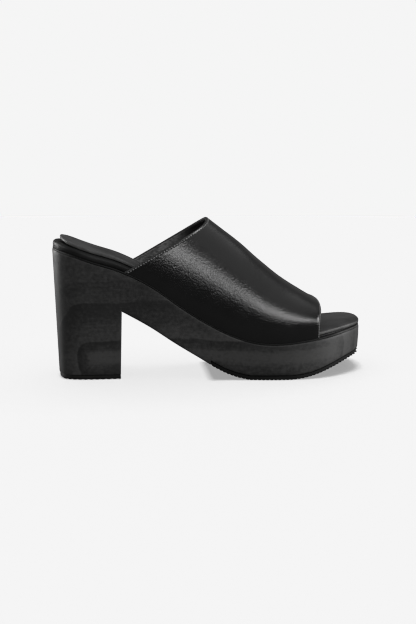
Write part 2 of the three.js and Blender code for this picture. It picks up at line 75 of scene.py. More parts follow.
class Slot(Enum):
    """The record's material slots."""

    WOOD = "stained_wood"
    RUBBER = "black_rubber"
    WRAP = "wrap_leather"
    SOCK = "sock_leather"
    VAMP = "vamp_leather"


class OutlineRow(NamedTuple):
    """Half widths of the wood at a turn, as shares of the ball width."""

    turn: float
    outer: float
    inner: float


class LineRow(NamedTuple):
    """A height over the floor, as shares of the heel's rise and of the toe spring."""

    along: float
    heel: float
    spring: float


class SectionRow(NamedTuple):
    """A section of the vamp, as shares of the instep rise and of the ball width."""

    along: float
    rise: float
    fullness: float
    ridge: float
    bulge: float
    hip: float


class Crease(NamedTuple):
    """A soft trough or ridge between two places of the vamp: along the sole, and lean in degrees."""

    along_from: float
    lean_from: float
    along_to: float
    lean_to: float
    width: float
    depth: float


def smooth_step(value: Array | float, low: float, high: float) -> Array:
    """0 up to low, 1 from high on, and smooth between."""
    t = np.clip((np.asarray(value, float) - low) / (high - low), 0.0, 1.0)
    return t * t * (3.0 - 2.0 * t)


class SmoothColumn:
    """The natural cubic spline of one column of a table over its first key."""

    def __init__(self, keys: Sequence[float], values: Sequence[float]) -> None:
        """Works out the spline's bends.

        Args:
            keys: where the rows lie, in rising order.
            values: the column's value in each row.
        """
        self.x = np.array(keys, float)
        self.y = np.array(values, float)
        last = len(self.x) - 1
        self.bend = np.zeros(last + 1)
        carry = np.zeros(last + 1)
        for i in range(1, last):
            before = self.x[i] - self.x[i - 1]
            after = self.x[i + 1] - self.x[i]
            kink = (self.y[i + 1] - self.y[i]) / after - (self.y[i] - self.y[i - 1]) / before
            weight = 2.0 * (before + after) - before * carry[i - 1]
            carry[i] = after / weight
            self.bend[i] = (6.0 * kink - before * self.bend[i - 1]) / weight
        for i in range(last - 1, 0, -1):
            self.bend[i] -= carry[i] * self.bend[i + 1]

    def __call__(self, at: Array | float) -> Array:
        """The column's value at one place or at many.

        Args:
            at: the place or places, in the key's terms.

        Returns:
            A value for each.
        """
        at = np.asarray(at, float)
        i = np.clip(np.searchsorted(self.x, at, side="left") - 1, 0, len(self.x) - 2)
        step = self.x[i + 1] - self.x[i]
        b = (at - self.x[i]) / step
        a = 1.0 - b
        curved = ((a**3 - a) * self.bend[i] + (b**3 - b) * self.bend[i + 1]) * step**2 / 6.0
        return a * self.y[i] + b * self.y[i + 1] + curved


class SteadyColumn:
    """A curve through one column that stays level where its rows are level."""

    def __init__(self, keys: Sequence[float], values: Sequence[float]) -> None:
        """Works out the curve's slopes.

        Args:
            keys: where the rows lie, in rising order.
            values: the column's value in each row.
        """
        self.x = np.array(keys, float)
        self.y = np.array(values, float)
        rise = np.diff(self.y) / np.diff(self.x)
        self.slope = np.zeros(len(self.x))
        self.slope[0] = rise[0]
        self.slope[-1] = rise[-1]
        for i in range(1, len(self.x) - 1):
            if rise[i - 1] * rise[i] > 0:
                self.slope[i] = 2.0 * rise[i - 1] * rise[i] / (rise[i - 1] + rise[i])

    def __call__(self, at: Array | float) -> Array:
        """The column's value at one place or at many.

        Args:
            at: the place or places, in the key's terms.

        Returns:
            A value for each.
        """
        at = np.asarray(at, float)
        i = np.clip(np.searchsorted(self.x, at, side="left") - 1, 0, len(self.x) - 2)
        step = self.x[i + 1] - self.x[i]
        t = np.clip((at - self.x[i]) / step, 0.0, 1.0)
        stay = 2.0 * t**3 - 3.0 * t**2 + 1.0
        lean = (t**3 - 2.0 * t**2 + t) * self.slope[i] + (t**3 - t**2) * self.slope[i + 1]
        return self.y[i] * stay + self.y[i + 1] * (1.0 - stay) + lean * step


OUTLINE = tuple(OutlineRow(*row) for row in (
    (0, 0, 0), (15, -0.235, 0.235), (30, -0.335, 0.335), (45, -0.355, 0.352), (60, -0.356, 0.345),
    (75, -0.362, 0.33), (90, -0.405, 0.338), (105, -0.472, 0.408), (120, -0.49, 0.487),
    (135, -0.414, 0.478), (150, -0.262, 0.412), (165, -0.095, 0.33), (180, 0.17, 0.17),
))

SEAT_LINE = tuple(LineRow(*row) for row in (
    (0, 1, 0), (0.059, 0.941, 0), (0.134, 0.854, 0), (0.188, 0.798, 0), (0.247, 0.713, 0),
    (0.301, 0.614, 0), (0.359, 0.473, 0), (0.422, 0.324, 0), (0.498, 0.173, 0), (0.554, 0.086, 0),
    (0.604, 0.035, 0), (0.658, 0.008, 0.01), (0.72, 0, 0.078), (0.795, 0, 0.214), (0.861, 0, 0.353),
    (0.93, 0, 0.5), (1, 0, 0.61),
))

WALKING_LINE = tuple(LineRow(*row) for row in (
    (0.2, 0.748, 0), (0.298, 0.558, 0), (0.371, 0.394, 0), (0.445, 0.237, 0), (0.505, 0.113, 0),
    (0.539, 0.058, 0), (0.574, 0.02, 0), (0.61, 0, 0), (0.725, 0, 0), (0.757, 0, 0.03), (0.792, 0, 0.117),
    (0.821, 0, 0.236), (0.864, 0, 0.458), (0.911, 0, 0.69), (0.95, 0, 0.855), (1, 0, 1),
))

VAMP_SECTIONS = tuple(SectionRow(*row) for row in (
    (0.188, 1.01, 2.1, 0.023, 0.012, 0.13), (0.317, 1.02, 2.1, 0.029, 0.015, 0.14),
    (0.416, 1.03, 2.1, 0.034, 0.018, 0.15), (0.499, 0.998, 2.1, 0.04, 0.018, 0.152),
    (0.537, 0.966, 2.1, 0.04, 0.016, 0.152), (0.596, 0.889, 2.12, 0.04, 0.012, 0.145),
    (0.635, 0.807, 2.14, 0.04, 0.009, 0.14), (0.675, 0.711, 2.18, 0.046, 0.007, 0.133),
    (0.715, 0.607, 2.22, 0.046, 0.006, 0.127), (0.776, 0.466, 2.26, 0.052, 0.004, 0.12),
    (0.836, 0.338, 2.3, 0.057, 0.003, 0.114), (0.866, 0.282, 2.3, 0.057, 0.003, 0.11),
))


def columns(kind: type, rows: Sequence[tuple], key: str, names: Sequence[str]) -> dict[str, Callable]:
    """One curve for each named column of a table.

    Args:
        kind: SmoothColumn or SteadyColumn.
        rows: the table.
        key: the column that the others run over.
        names: the columns wanted.

    Returns:
        A curve for each name.
    """
    keys = [getattr(row, key) for row in rows]
    return {name: kind(keys, [getattr(row, name) for row in rows]) for name in names}


@dataclass
class Last:
    """The sizes that the pieces share, and the curves that follow from them."""

    sole_length: float = 240.5
    ball_width: float = 87.0
    heel_height: float = 97.3
    platform_height: float = 26.0
    toe_spring: float = 13.6
    heel_length: float = 50.6
    heel_back_rake: float = 2.6
    heel_side_taper: float = 7.0
    heel_breast_rake: float = 1.6
    heel_blend: float = 42.0
    platform_side_taper: float = 1.4
    wood_edge_radius: float = 0.9
    outsole_thickness: float = 2.8
    outsole_start: float = 115.8
    top_piece_thickness: float = 3.2
    rand_thickness: float = 0.9
    leather_thickness: float = 2.0
    vamp_base_inset: float = 0.5
    toe_opening: float = 37.0
    vamp_length: float = 87.2
    wall_slant: float = 1.15
    clearance: float = 0.3
    turn_nudge: float = 0.05
    outline: dict[str, Callable] = field(init=False)
    seat: dict[str, Callable] = field(init=False)
    walk: dict[str, Callable] = field(init=False)
    shift: Array = field(init=False)

    def __post_init__(self) -> None:
        """Works out the curves, and the move from the back of the heel to the frame of the solids."""
        self.outline = columns(SmoothColumn, OUTLINE, "turn", ("outer", "inner"))
        self.seat = columns(SmoothColumn, SEAT_LINE, "along", ("heel", "spring"))
        self.walk = columns(SteadyColumn, WALKING_LINE, "along", ("heel", "spring"))
        low, high = (np.array(corner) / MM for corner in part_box("wooden_sole"))
        back = self.heel_back_rake * self.wood_edge_radius / self.heel_height
        turns = np.linspace(0.0, 180.0, 1801)
        outer = float(np.min(self.outline["outer"](turns))) * self.ball_width
        inner = float(np.max(self.outline["inner"](turns))) * self.ball_width
        self.shift = np.array([low[0] - back, (low[1] - outer + high[1] - inner) / 2.0, 0.0])

    @property
    def front_at_ridge(self) -> float:
        """Where the vamp's front edge crosses its ridge."""
        return self.sole_length - self.toe_opening

    @property
    def throat_at_ridge(self) -> float:
        """Where the throat crosses the vamp's ridge."""
        return self.front_at_ridge - self.vamp_length

    @property
    def under_vamp_inset(self) -> float:
        """How far in from the wood's edge a layer has to be to clear the vamp's wall."""
        return self.vamp_base_inset + self.wall_slant * self.leather_thickness + self.clearance

    @property
    def rand_low(self) -> float:
        """Height over the seat of the rand's underside."""
        return self.clearance

    @property
    def footbed_low(self) -> float:
        """Height over the seat of the undersides of the footbed and the vamp."""
        return self.rand_low + self.rand_thickness + self.clearance

    def distance_of(self, turn: Array | float) -> Array:
        """Distance from the back of the heel at a turn."""
        return self.sole_length * (1.0 - np.cos(np.radians(turn))) / 2.0

    def turn_of(self, distance: Array | float) -> Array:
        """The turn at a distance from the back of the heel."""
        return np.degrees(np.arccos(np.clip(1.0 - 2.0 * np.asarray(distance) / self.sole_length, -1.0, 1.0)))

    def seat_height(self, distance: Array | float) -> Array:
        """Height of the wood's upper edge over the floor.

        Args:
            distance: from the back of the heel.

        Returns:
            A height for each.
        """
        along = np.asarray(distance) / self.sole_length
        rise = (self.heel_height - self.platform_height) * self.seat["heel"](along)
        return self.platform_height + rise + self.toe_spring * self.seat["spring"](along)

    def walk_height(self, distance: Array | float) -> Array:
        """Height of the line that the sole walks on.

        Args:
            distance: from the back of the heel.

        Returns:
            A height for each.
        """
        along = np.asarray(distance) / self.sole_length
        rise = (self.heel_height - self.platform_height) * self.walk["heel"](along)
        return rise + self.toe_spring * self.walk["spring"](along)

    def outline_point(self, turn: Array | float, side: Side) -> Array:
        """Points of the outline seen from above, at one side.

        Args:
            turn: one turn or many.
            side: which side.

        Returns:
            One X and Y for each.
        """
        share = self.outline["inner" if side is Side.INNER else "outer"](turn)
        distance = self.distance_of(turn)
        return np.stack([distance * np.ones_like(share), share * self.ball_width], axis=-1)

    def outwards(self, turn: float, side: Side) -> Array:
        """The direction out of the outline at a turn.

        Args:
            turn: the turn.
            side: which side.

        Returns:
            X and Y, one long.
        """
        if turn < self.turn_nudge:
            return np.array([-1.0, 0.0])
        if turn > 180.0 - self.turn_nudge:
            return np.array([1.0, 0.0])
        ends = self.outline_point(np.array([turn - self.turn_nudge, turn + self.turn_nudge]), side)
        tangent = (ends[1] - ends[0]) / np.linalg.norm(ends[1] - ends[0])
        return np.array([-tangent[1] * side.value, tangent[0] * side.value])

    def across(self, turn: float, share: Array, inset_along: Array, inset_across: Array) -> Array:
        """Points between the two sides of the outline at a turn.

        Args:
            turn: the turn.
            share: -1 at the outer side to 1 at the inner side.
            inset_along: how far in, where the outline faces along the shoe.
            inset_across: how far in, where it faces across.

        Returns:
            One X and Y for each share.
        """
        share, inset_along, inset_across = np.broadcast_arrays(
            np.asarray(share, float), np.asarray(inset_along, float), np.asarray(inset_across, float)
        )
        insets = np.stack([inset_along, inset_across], axis=-1)
        outer = self.outline_point(turn, Side.OUTER) - self.outwards(turn, Side.OUTER) * insets
        inner = self.outline_point(turn, Side.INNER) - self.outwards(turn, Side.INNER) * insets
        mix = ((share + 1.0) / 2.0)[..., None]
        return outer * (1.0 - mix) + inner * mix

    def wood_points(self, turn: float, share: Array, height: Array, extra: Array) -> Array:
        """Points of the wooden wall, or between its two sides.

        Args:
            turn: the turn of the section.
            share: -1 at the outer side to 1 at the inner side.
            height: heights over the floor.
            extra: how much further in than the wall.

        Returns:
            One X, Y and Z for each share.
        """
        share, height, extra = np.broadcast_arrays(
            np.asarray(share, float), np.asarray(height, float), np.asarray(extra, float)
        )
        distance = float(self.distance_of(turn))
        fore = float(smooth_step(distance, self.heel_length, self.heel_length + self.heel_blend))
        heel = (1.0 - fore) * np.clip(1.0 - height / self.heel_height, 0.0, 1.0)
        low = fore * np.clip(1.0 - height / self.platform_height, 0.0, 1.0) * self.platform_side_taper
        along = self.heel_back_rake * heel + low + extra
        wide = self.heel_side_taper * heel + low + extra
        flat = self.across(turn, share, along, wide)
        return np.concatenate([flat, height[..., None]], axis=-1)


def corner(radius: float, steps: int) -> tuple[Array, Array]:
    """Steps round a quarter of an edge: how far in, and how far towards the wall."""
    angle = np.linspace(0.0, math.pi / 2.0, steps + 1)
    return radius * (1.0 - np.sin(angle)), radius * (1.0 - np.cos(angle))


def ring_faces(rings: int, size: int, filled_ends: bool) -> list[tuple[int, ...]]:
    """Faces between rings with equally many points.

    Args:
        rings: how many rings.
        size: how many points each has.
        filled_ends: whether the end rings are filled. Their points then lie in pairs, first with last.

    Returns:
        The faces, as corner numbers.
    """
    faces: list[tuple[int, ...]] = []
    for i in range(rings - 1):
        for j in range(size):
            a = i * size + j
            b = i * size + (j + 1) % size
            faces.append((a, a + size, b + size, b))
    if filled_ends:
        last = (rings - 1) * size
        for j in range(size // 2 - 1):
            k = size - 1 - j
            faces.append((j, j + 1, k - 1, k))
            faces.append((last + j, last + k, last + k - 1, last + j + 1))
    return faces


def make_object(
    name: str,
    points: Array,
    faces: Sequence[Sequence[int]],
    last: Last,
    numbers: dict[str, Array] | None = None,
    face_materials: Array | None = None,
) -> bpy.types.Object:
    """A closed, smooth mesh object from points in the shoe's millimetres.

    Args:
        name: the piece's name.
        points: one X, Y and Z a row, from the back of the heel.
        faces: corner numbers.
        last: the shoe's shared sizes.
        numbers: numbers to store on the points, by name.
        face_materials: the material's number for each face.

    Returns:
        The object, at the origin, in metres.
    """
    mesh = bpy.data.meshes.new(name)
    mesh.from_pydata(((points + last.shift) * MM).tolist(), [], faces)
    for key, values in (numbers or {}).items():
        mesh.attributes.new(key, "FLOAT", "POINT").data.foreach_set("value", values.astype(np.float32))
    if face_materials is not None:
        mesh.polygons.foreach_set("material_index", face_materials.astype(np.int32))
    bm = bmesh.new()
    bm.from_mesh(mesh)
    bmesh.ops.remove_doubles(bm, verts=bm.verts, dist=MERGE_M)
    bmesh.ops.dissolve_degenerate(bm, edges=bm.edges, dist=MERGE_M)
    bmesh.ops.recalc_face_normals(bm, faces=bm.faces)
    if bm.calc_volume(signed=True) < 0:
        bmesh.ops.reverse_faces(bm, faces=bm.faces)
    for edge in bm.edges:
        edge.smooth = len(edge.link_faces) != 2 or edge.calc_face_angle() < SHARP_ANGLE
    for face in bm.faces:
        face.smooth = True
    bm.to_mesh(mesh)
    bm.free()
    piece = bpy.data.objects.new(name, mesh)
    bpy.context.scene.collection.objects.link(piece)
    return piece


def loft(
    name: str,
    rings: Sequence[Array],
    last: Last,
    filled_ends: bool = False,
    numbers: dict[str, Callable[[Array], Array]] | None = None,
) -> bpy.types.Object:
    """A closed body from rings. An end ring that is drawn to a line closes by itself.

    Args:
        name: the piece's name.
        rings: its sections, each with equally many points.
        last: the shoe's shared sizes.
        filled_ends: whether the end rings are filled.
        numbers: what works out each stored number from the points.

    Returns:
        The object.
    """
    points = np.concatenate(rings)
    faces = ring_faces(len(rings), len(rings[0]), filled_ends)
    stored = {key: worked(points) for key, worked in (numbers or {}).items()}
    return make_object(name, points, faces, last, stored)


def dress(piece: bpy.types.Object, materials: Sequence[bpy.types.Material]) -> None:
    """Gives a piece its materials and its body.

    Args:
        piece: the piece.
        materials: its materials, in their faces' order.
    """
    given = piece.data.materials
    for i, material in enumerate(materials):
        if i < len(given):
            given[i] = material
        else:
            given.append(material)
    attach(piece, BODY)
    LOG.info("%s: %d faces", piece.name, len(piece.data.polygons))


class Nodes:
    """A node tree whose nodes are all made by one method."""

    def __init__(self, tree: bpy.types.NodeTree) -> None:
        """Takes a tree and empties it."""
        self.tree = tree
        tree.nodes.clear()

    def node(self, kind: str, settings: dict | None = None, inputs: dict | None = None) -> bpy.types.Node:
        """Makes any node.

        Args:
            kind: the node's type.
            settings: its properties, set first. "stops" holds a ramp's positions and colours.
            inputs: values, sockets or signals for its sockets, by name or number.

        Returns:
            The node.
        """
        made = self.tree.nodes.new(kind)
        for key, value in (settings or {}).items():
            if key == "stops":
                elements = made.color_ramp.elements
                while len(elements) > len(value):
                    elements.remove(elements[-1])
                while len(elements) < len(value):
                    elements.new(1.0)
                for element, (position, colour) in zip(elements, value):
                    element.position = position
                    element.color = colour
            else:
                setattr(made, key, value)
        for key, value in (inputs or {}).items():
            given = value.socket if isinstance(value, Signal) else value
            if isinstance(given, bpy.types.NodeSocket):
                self.tree.links.new(given, made.inputs[key])
            else:
                made.inputs[key].default_value = given
        return made

    def out(self, kind: str, inputs: dict, settings: dict | None = None) -> bpy.types.NodeSocket:
        """The first output of a new node."""
        return self.node(kind, settings, inputs).outputs[0]


class Tree(Nodes):
    """A material's nodes, and the signals that run between them."""

    def __init__(self, name: str) -> None:
        """Starts an empty material of that name."""
        self.material = bpy.data.materials.new(name)
        self.material.use_nodes = True
        super().__init__(self.material.node_tree)

    def signal(self, made: bpy.types.Node, output: str | int = 0) -> Signal:
        """One output of a node, as a value for expressions."""
        return Signal(self, made.outputs[output])

    def place(self) -> Signal:
        """The point on the piece, in metres."""
        return self.signal(self.node("ShaderNodeTexCoord"), "Object")

    def part(self, vector: Signal, axis: str) -> Signal:
        """One component of a vector."""
        return self.signal(self.node("ShaderNodeSeparateXYZ", inputs={0: vector}), axis)

    def stretched(self, vector: Signal, scale: tuple[float, float, float], turn: float = 0.0) -> Signal:
        """A vector scaled along each axis, after a turn about Y in radians."""
        inputs = {"Vector": vector, "Rotation": (0.0, turn, 0.0), "Scale": scale}
        return self.signal(self.node("ShaderNodeMapping", inputs=inputs))

    def noise(self, vector: Signal, scale: float, detail: float = 3.0, rough: float = 0.55) -> Signal:
        """Noise between 0 and 1."""
        inputs = {"Vector": vector, "Scale": scale, "Detail": detail, "Roughness": rough}
        return self.signal(self.node("ShaderNodeTexNoise", inputs=inputs), 0)

    def cells(self, vector: Signal, scale: float) -> Signal:
        """Distance from the middles of a pattern of cells."""
        inputs = {"Vector": vector, "Scale": scale}
        return self.signal(self.node("ShaderNodeTexVoronoi", {"feature": "F1"}, inputs), "Distance")

    def attribute(self, name: str) -> Signal:
        """A number stored on the piece's points."""
        return self.signal(self.node("ShaderNodeAttribute", {"attribute_name": name}), "Fac")

    def ramp(self, value: Signal, low: float, high: float) -> Signal:
        """0 where value is low, 1 where it is high, and smooth between.

        Args:
            value: what decides.
            low: where 0 ends.
            high: where 1 begins.

        Returns:
            The share.
        """
        settings = {"interpolation_type": "SMOOTHSTEP"}
        inputs = {"Value": value, "From Min": low, "From Max": high, "To Min": 0.0, "To Max": 1.0}
        return self.signal(self.node("ShaderNodeMapRange", settings, inputs), 0)

    def mix(self, share: Signal | float, first: Colour | Signal, second: Colour | Signal) -> Signal:
        """One colour faded into another."""
        inputs = {0: share, 6: first, 7: second}
        return self.signal(self.node("ShaderNodeMix", {"data_type": "RGBA"}, inputs), 2)

    def bump(self, height: Signal, millimetres: float, under: Signal | None = None) -> Signal:
        """A normal from a height of 0 to 1 that stands for so many millimetres.

        Args:
            height: the height.
            millimetres: what a height of 1 stands for.
            under: a normal to start from.

        Returns:
            The normal.
        """
        inputs: dict[str, Signal | float] = {"Height": height, "Distance": millimetres * MM, "Strength": 1.0}
        if under is not None:
            inputs["Normal"] = under
        return self.signal(self.node("ShaderNodeBump", inputs=inputs))

    def finish(self, inputs: dict) -> bpy.types.Material:
        """Ends the material in one shader with these sockets.

        Args:
            inputs: values or signals for the shader's sockets.

        Returns:
            The material.
        """
        shader = self.node("ShaderNodeBsdfPrincipled", inputs=inputs)
        self.node("ShaderNodeOutputMaterial", inputs={"Surface": self.signal(shader)})
        return self.material


class Signal:
    """A socket that takes part in sums: each operator adds a Math node."""

    def __init__(self, tree: Tree, socket: bpy.types.NodeSocket) -> None:
        """Holds a socket of a tree."""
        self.tree = tree
        self.socket = socket

    def math(self, operation: str, first: Signal | float, second: Signal | float = 0.0) -> Signal:
        """One Math node on two values."""
        made = self.tree.node("ShaderNodeMath", {"operation": operation}, {0: first, 1: second})
        return self.tree.signal(made)

    def __add__(self, other: Signal | float) -> Signal:
        """self + other."""
        return self.math("ADD", self, other)

    def __radd__(self, other: float) -> Signal:
        """other + self."""
        return self.math("ADD", other, self)

    def __sub__(self, other: Signal | float) -> Signal:
        """self - other."""
        return self.math("SUBTRACT", self, other)

    def __rsub__(self, other: float) -> Signal:
        """other - self."""
        return self.math("SUBTRACT", other, self)

    def __mul__(self, other: Signal | float) -> Signal:
        """self * other."""
        return self.math("MULTIPLY", self, other)

    def __rmul__(self, other: float) -> Signal:
        """other * self."""
        return self.math("MULTIPLY", other, self)

    def __truediv__(self, other: Signal | float) -> Signal:
        """self / other."""
        return self.math("DIVIDE", self, other)

    def __pow__(self, other: float) -> Signal:
        """self to a power."""
        return self.math("POWER", self, other)

    def at_least(self, floor: Signal | float) -> Signal:
        """The larger of self and floor."""
        return self.math("MAXIMUM", self, floor)


def grey(value: float, warmth: float = 0.0) -> Colour:
    """A near-neutral colour. warmth above 0 leans to red, below 0 to blue."""
    return (value * (1.0 + warmth), value, value * (1.0 - warmth), 1.0)


@dataclass(frozen=True)
class StainedWood:
    """Dark stained wood: nested growth rings with one sharp side, fibres, mottling, worn pale edges that also
    carry a painted highlight, and a painted lightening towards the toe.
    """

    dark: Colour = grey(0.005)
    light: Colour = grey(0.031, 0.01)
    # Pale of worn edges, which also paints a highlight.
    rubbed_and_lit: Colour = grey(0.11)
    gloss: float = 0.3
    heart: tuple[float, float] = (-0.0862, 0.0205)
    toe_turn: float = 0.078
    heel_bend: float = 40.0
    toe_bend: float = 1100.0
    reach: float = 0.08
    slope: float = 0.035
    bow: float = 3.0
    under: float = -0.5
    drift: float = 0.013
    quick_share: float = 0.14
    slow_scale: float = 26.0
    quick_scale: float = 190.0
    mottle_scale: float = 420.0
    blotch_scale: float = 48.0
    fibre_scale: float = 900.0
    streak_scale: float = 190.0
    fade_scale: float = 24.0
    relief_mm: float = 0.12
    roughness: float = 0.52
    rings: tuple[tuple[float, float], ...] = (
        (0.0, 0.78), (0.03, 0.72), (0.05, 0.42), (0.132, 0.16), (0.146, 0.62), (0.2, 0.55), (0.33, 0.34),
        (0.49, 0.14), (0.505, 0.5), (0.6, 0.42), (0.72, 0.3), (0.735, 0.46), (1.0, 0.36),
    )

    def material(self) -> bpy.types.Material:
        """Makes the finish.

        Returns:
            The material.
        """
        t = Tree("stained_wood")
        place = t.place()
        slow = t.noise(t.stretched(place, (0.35, 1.0, 1.0)), self.slow_scale, 2.0) - 0.5
        quick = t.noise(t.stretched(place, (0.3, 1.0, 1.0)), self.quick_scale, 2.0) - 0.5
        drift = slow + quick * self.quick_share
        x, y, z = t.part(place, "X"), t.part(place, "Y"), t.part(place, "Z")
        back = (self.heart[0] - x).at_least(0.0)
        ahead = (x - self.toe_turn).at_least(0.0)
        bend = back * back * self.heel_bend + ahead**3 * self.toe_bend
        above = z - self.heart[1] - (x - self.heart[0]) * self.slope + y * y * self.bow + drift * self.drift
        lift = above.at_least(above * self.under)
        reach = (lift * lift + bend * bend) ** 0.5 / self.reach
        stops = [(place_on, (tone, tone, tone, 1.0)) for place_on, tone in self.rings]
        rings = t.signal(t.node("ShaderNodeValToRGB", {"stops": stops}, {0: reach}), "Color")
        ring_tone = t.part(rings, "X")
        mottle = t.noise(place, self.mottle_scale, 4.0, 0.6)
        blotch = t.noise(place, self.blotch_scale, 3.0)
        fibres = t.noise(t.stretched(place, (0.06, 1.0, 1.0), 0.1), self.fibre_scale, 3.0, 0.6)
        streaks = t.noise(t.stretched(place, (0.08, 1.0, 1.0), 0.1), self.streak_scale, 2.0)
        fade = t.noise(place, self.fade_scale, 1.0)
        ring_share = t.ramp(fade, 0.25, 0.6) * 0.5 + 0.75
        tone = (ring_tone - 0.4) * ring_share + (mottle - 0.5) * 1.0 + (blotch - 0.5) * 0.4
        # Painted highlight: the tone rises from the waist to the toe, where light falls on the forepart.
        tone = tone + (fibres - 0.5) * 0.4 + (streaks - 0.5) * 0.3 + t.ramp(x, 0.03, 0.12) * 0.3 + 0.38
        stained = t.mix(t.ramp(tone, 0.0, 1.0), self.dark, self.light)
        # Wear and painted highlight: paler at the heel's back and the toe, where light falls, broken up by
        # blotches.
        edge = t.ramp(t.attribute("edge") + (blotch - 0.5) * 0.7 + (mottle - 0.5) * 0.5, 0.35, 1.1)
        colour = t.mix(edge * 0.5, stained, self.rubbed_and_lit)
        relief = t.bump(fibres * 0.6 + streaks * 0.4 + mottle * 0.3, self.relief_mm)
        rough = self.roughness + (mottle - 0.5) * 0.25
        gloss = {"Specular IOR Level": self.gloss}
        return t.finish({"Base Color": colour, "Roughness": rough, "Normal": relief, **gloss})


@dataclass(frozen=True)
class PebbledLeather:
    """The vamp's black leather: fine pebbles, a soft gloss and a paler cut edge."""

    name: str = "vamp_leather"
    base: Colour = grey(0.0012)
    worn: Colour = grey(0.0025)
    cut: Colour = grey(0.012)
    pebble_scale: float = 1000.0
    wrinkle_scale: float = 780.0
    fine_scale: float = 2600.0
    broad_scale: float = 55.0
    pebble_mm: float = 0.1
    wrinkle_mm: float = 0.12
    cut_mm: tuple[float, float] = (0.7, 1.5)
    cut_rough: float = 0.4
    roughness: float = 0.185

    def material(self) -> bpy.types.Material:
        """Makes the finish.

        Returns:
            The material.
        """
        t = Tree(self.name)
        place = t.place()
        wrinkles = t.noise(t.stretched(place, (1.0, 1.0, 0.85)), self.wrinkle_scale, 3.0, 0.6)
        pebbles = t.cells(place, self.pebble_scale)
        fine = t.noise(place, self.fine_scale, 2.0)
        broad = t.noise(place, self.broad_scale, 3.0)
        cut = 1.0 - t.ramp(t.attribute("rim_mm"), *self.cut_mm)
        tinted = t.mix(t.ramp(broad, 0.35, 0.75) * 0.6, self.base, self.worn)
        colour = t.mix(cut * 0.7, tinted, self.cut)
        rough = self.roughness + (broad - 0.5) * 0.08 + cut * self.cut_rough
        relief = t.bump(pebbles * 0.6 + fine * 0.3, self.pebble_mm, t.bump(wrinkles, self.wrinkle_mm))
        return t.finish({"Base Color": colour, "Roughness": rough, "Normal": relief})


@dataclass(frozen=True)
class LiningLeather:
    """The vamp's lining: soft, finely wrinkled, patchy pale and dark, with painted shade that darkens it
    towards the front, far inside the vamp.
    """

    dark: Colour = grey(0.04)
    light: Colour = grey(0.26)
    # Painted shade for the vamp's cavity, and along X where it starts and where it is full.
    cavity_shade: Colour = grey(0.006)
    deep_from: float = -0.036
    deep_to: float = -0.012
    wrinkle_scale: float = 420.0
    broad_scale: float = 60.0
    relief_mm: float = 0.35
    roughness: float = 0.5

    def material(self) -> bpy.types.Material:
        """Makes the finish.

        Returns:
            The material.
        """
        t = Tree("vamp_lining")
        place = t.place()
        wrinkles = t.noise(t.stretched(place, (1.0, 1.0, 2.2), 0.5), self.wrinkle_scale, 3.0, 0.6)
        broad = t.noise(place, self.broad_scale, 2.0)
        worn = t.mix(t.ramp(wrinkles * 0.6 + broad * 0.4, 0.35, 0.7), self.dark, self.light)
        # Painted shade: the lining fades to near black towards the front, inside the vamp's cavity.
        colour = t.mix(t.ramp(t.part(place, "X"), self.deep_from, self.deep_to), worn, self.cavity_shade)
        relief = t.bump(wrinkles, self.relief_mm)
        return t.finish({"Base Color": colour, "Roughness": self.roughness, "Normal": relief})


@dataclass(frozen=True)
class SmoothLeather:
    """Leather of the footbed's wrap, the insole or the vamp's cut edges."""

    name: str
    base: Colour
    worn: Colour
    roughness: float
    grain_mm: float
    gloss: float = 0.5
    pebble_scale: float = 1100.0
    soft_scale: float = 320.0
    broad_scale: float = 45.0

    def material(self) -> bpy.types.Material:
        """Makes the finish.

        Returns:
            The material.
        """
        t = Tree(self.name)
        place = t.place()
        pebbles = t.cells(place, self.pebble_scale)
        soft = t.noise(place, self.soft_scale, 3.0)
        broad = t.noise(place, self.broad_scale, 3.0)
        tone = t.ramp(broad * 0.6 + soft * 0.4, 0.35, 0.7)
        colour = t.mix(tone, self.base, self.worn)
        rough = self.roughness + (soft - 0.5) * 0.2
        relief = t.bump(pebbles * 0.5 + soft, self.grain_mm)
        gloss = {"Specular IOR Level": self.gloss}
        return t.finish({"Base Color": colour, "Roughness": rough, "Normal": relief, **gloss})


@dataclass(frozen=True)
class EdgeLeather:
    """The rand's leather: black, and pale round the toe and at the back of the heel, from wear and from a
    painted highlight there.
    """

    dark: Colour = grey(0.003)
    # Pale of wear and of a painted highlight.
    rubbed_and_lit: Colour = grey(0.07)
    heel_to: float = -0.113
    toe_from: float = 0.086
    fade: float = 0.012
    rub_scale: float = 260.0
    grain_scale: float = 900.0
    grain_mm: float = 0.04
    gloss: float = 0.2
    roughness: float = 0.55

    def material(self) -> bpy.types.Material:
        """Makes the finish.

        Returns:
            The material.
        """
        t = Tree("rand_leather")
        place = t.place()
        x = t.part(place, "X")
        toe = t.ramp(x, self.toe_from, self.toe_from + self.fade)
        past_heel = t.ramp(x, self.heel_to, self.heel_to + self.fade)
        # Wear and painted highlight: paler at the toe and the heel's back, in patches; black between.
        worn = toe + 1.0 - past_heel
        colour = t.mix(worn * t.noise(place, self.rub_scale), self.dark, self.rubbed_and_lit)
        relief = t.bump(t.noise(place, self.grain_scale), self.grain_mm)
        gloss = {"Specular IOR Level": self.gloss}
        return t.finish({"Base Color": colour, "Roughness": self.roughness, "Normal": relief, **gloss})


@dataclass(frozen=True)
class BlackRubber:
    """Moulded rubber of the heel's top piece and the outsole."""

    base: Colour = grey(0.0015)
    dusty: Colour = grey(0.006)
    dust_scale: float = 120.0
    fine_scale: float = 1500.0
    relief_mm: float = 0.06
    roughness: float = 0.7
    gloss: float = 0.2

    def material(self) -> bpy.types.Material:
        """Makes the finish.

        Returns:
            The material.
        """
        t = Tree("black_rubber")
        place = t.place()
        dust = t.noise(place, self.dust_scale, 4.0, 0.65)
        fine = t.noise(place, self.fine_scale, 2.0)
        colour = t.mix(t.ramp(dust, 0.45, 0.8), self.base, self.dusty)
        relief = t.bump(fine + dust, self.relief_mm)
        gloss = {"Specular IOR Level": self.gloss}
        return t.finish({"Base Color": colour, "Roughness": self.roughness, "Normal": relief, **gloss})


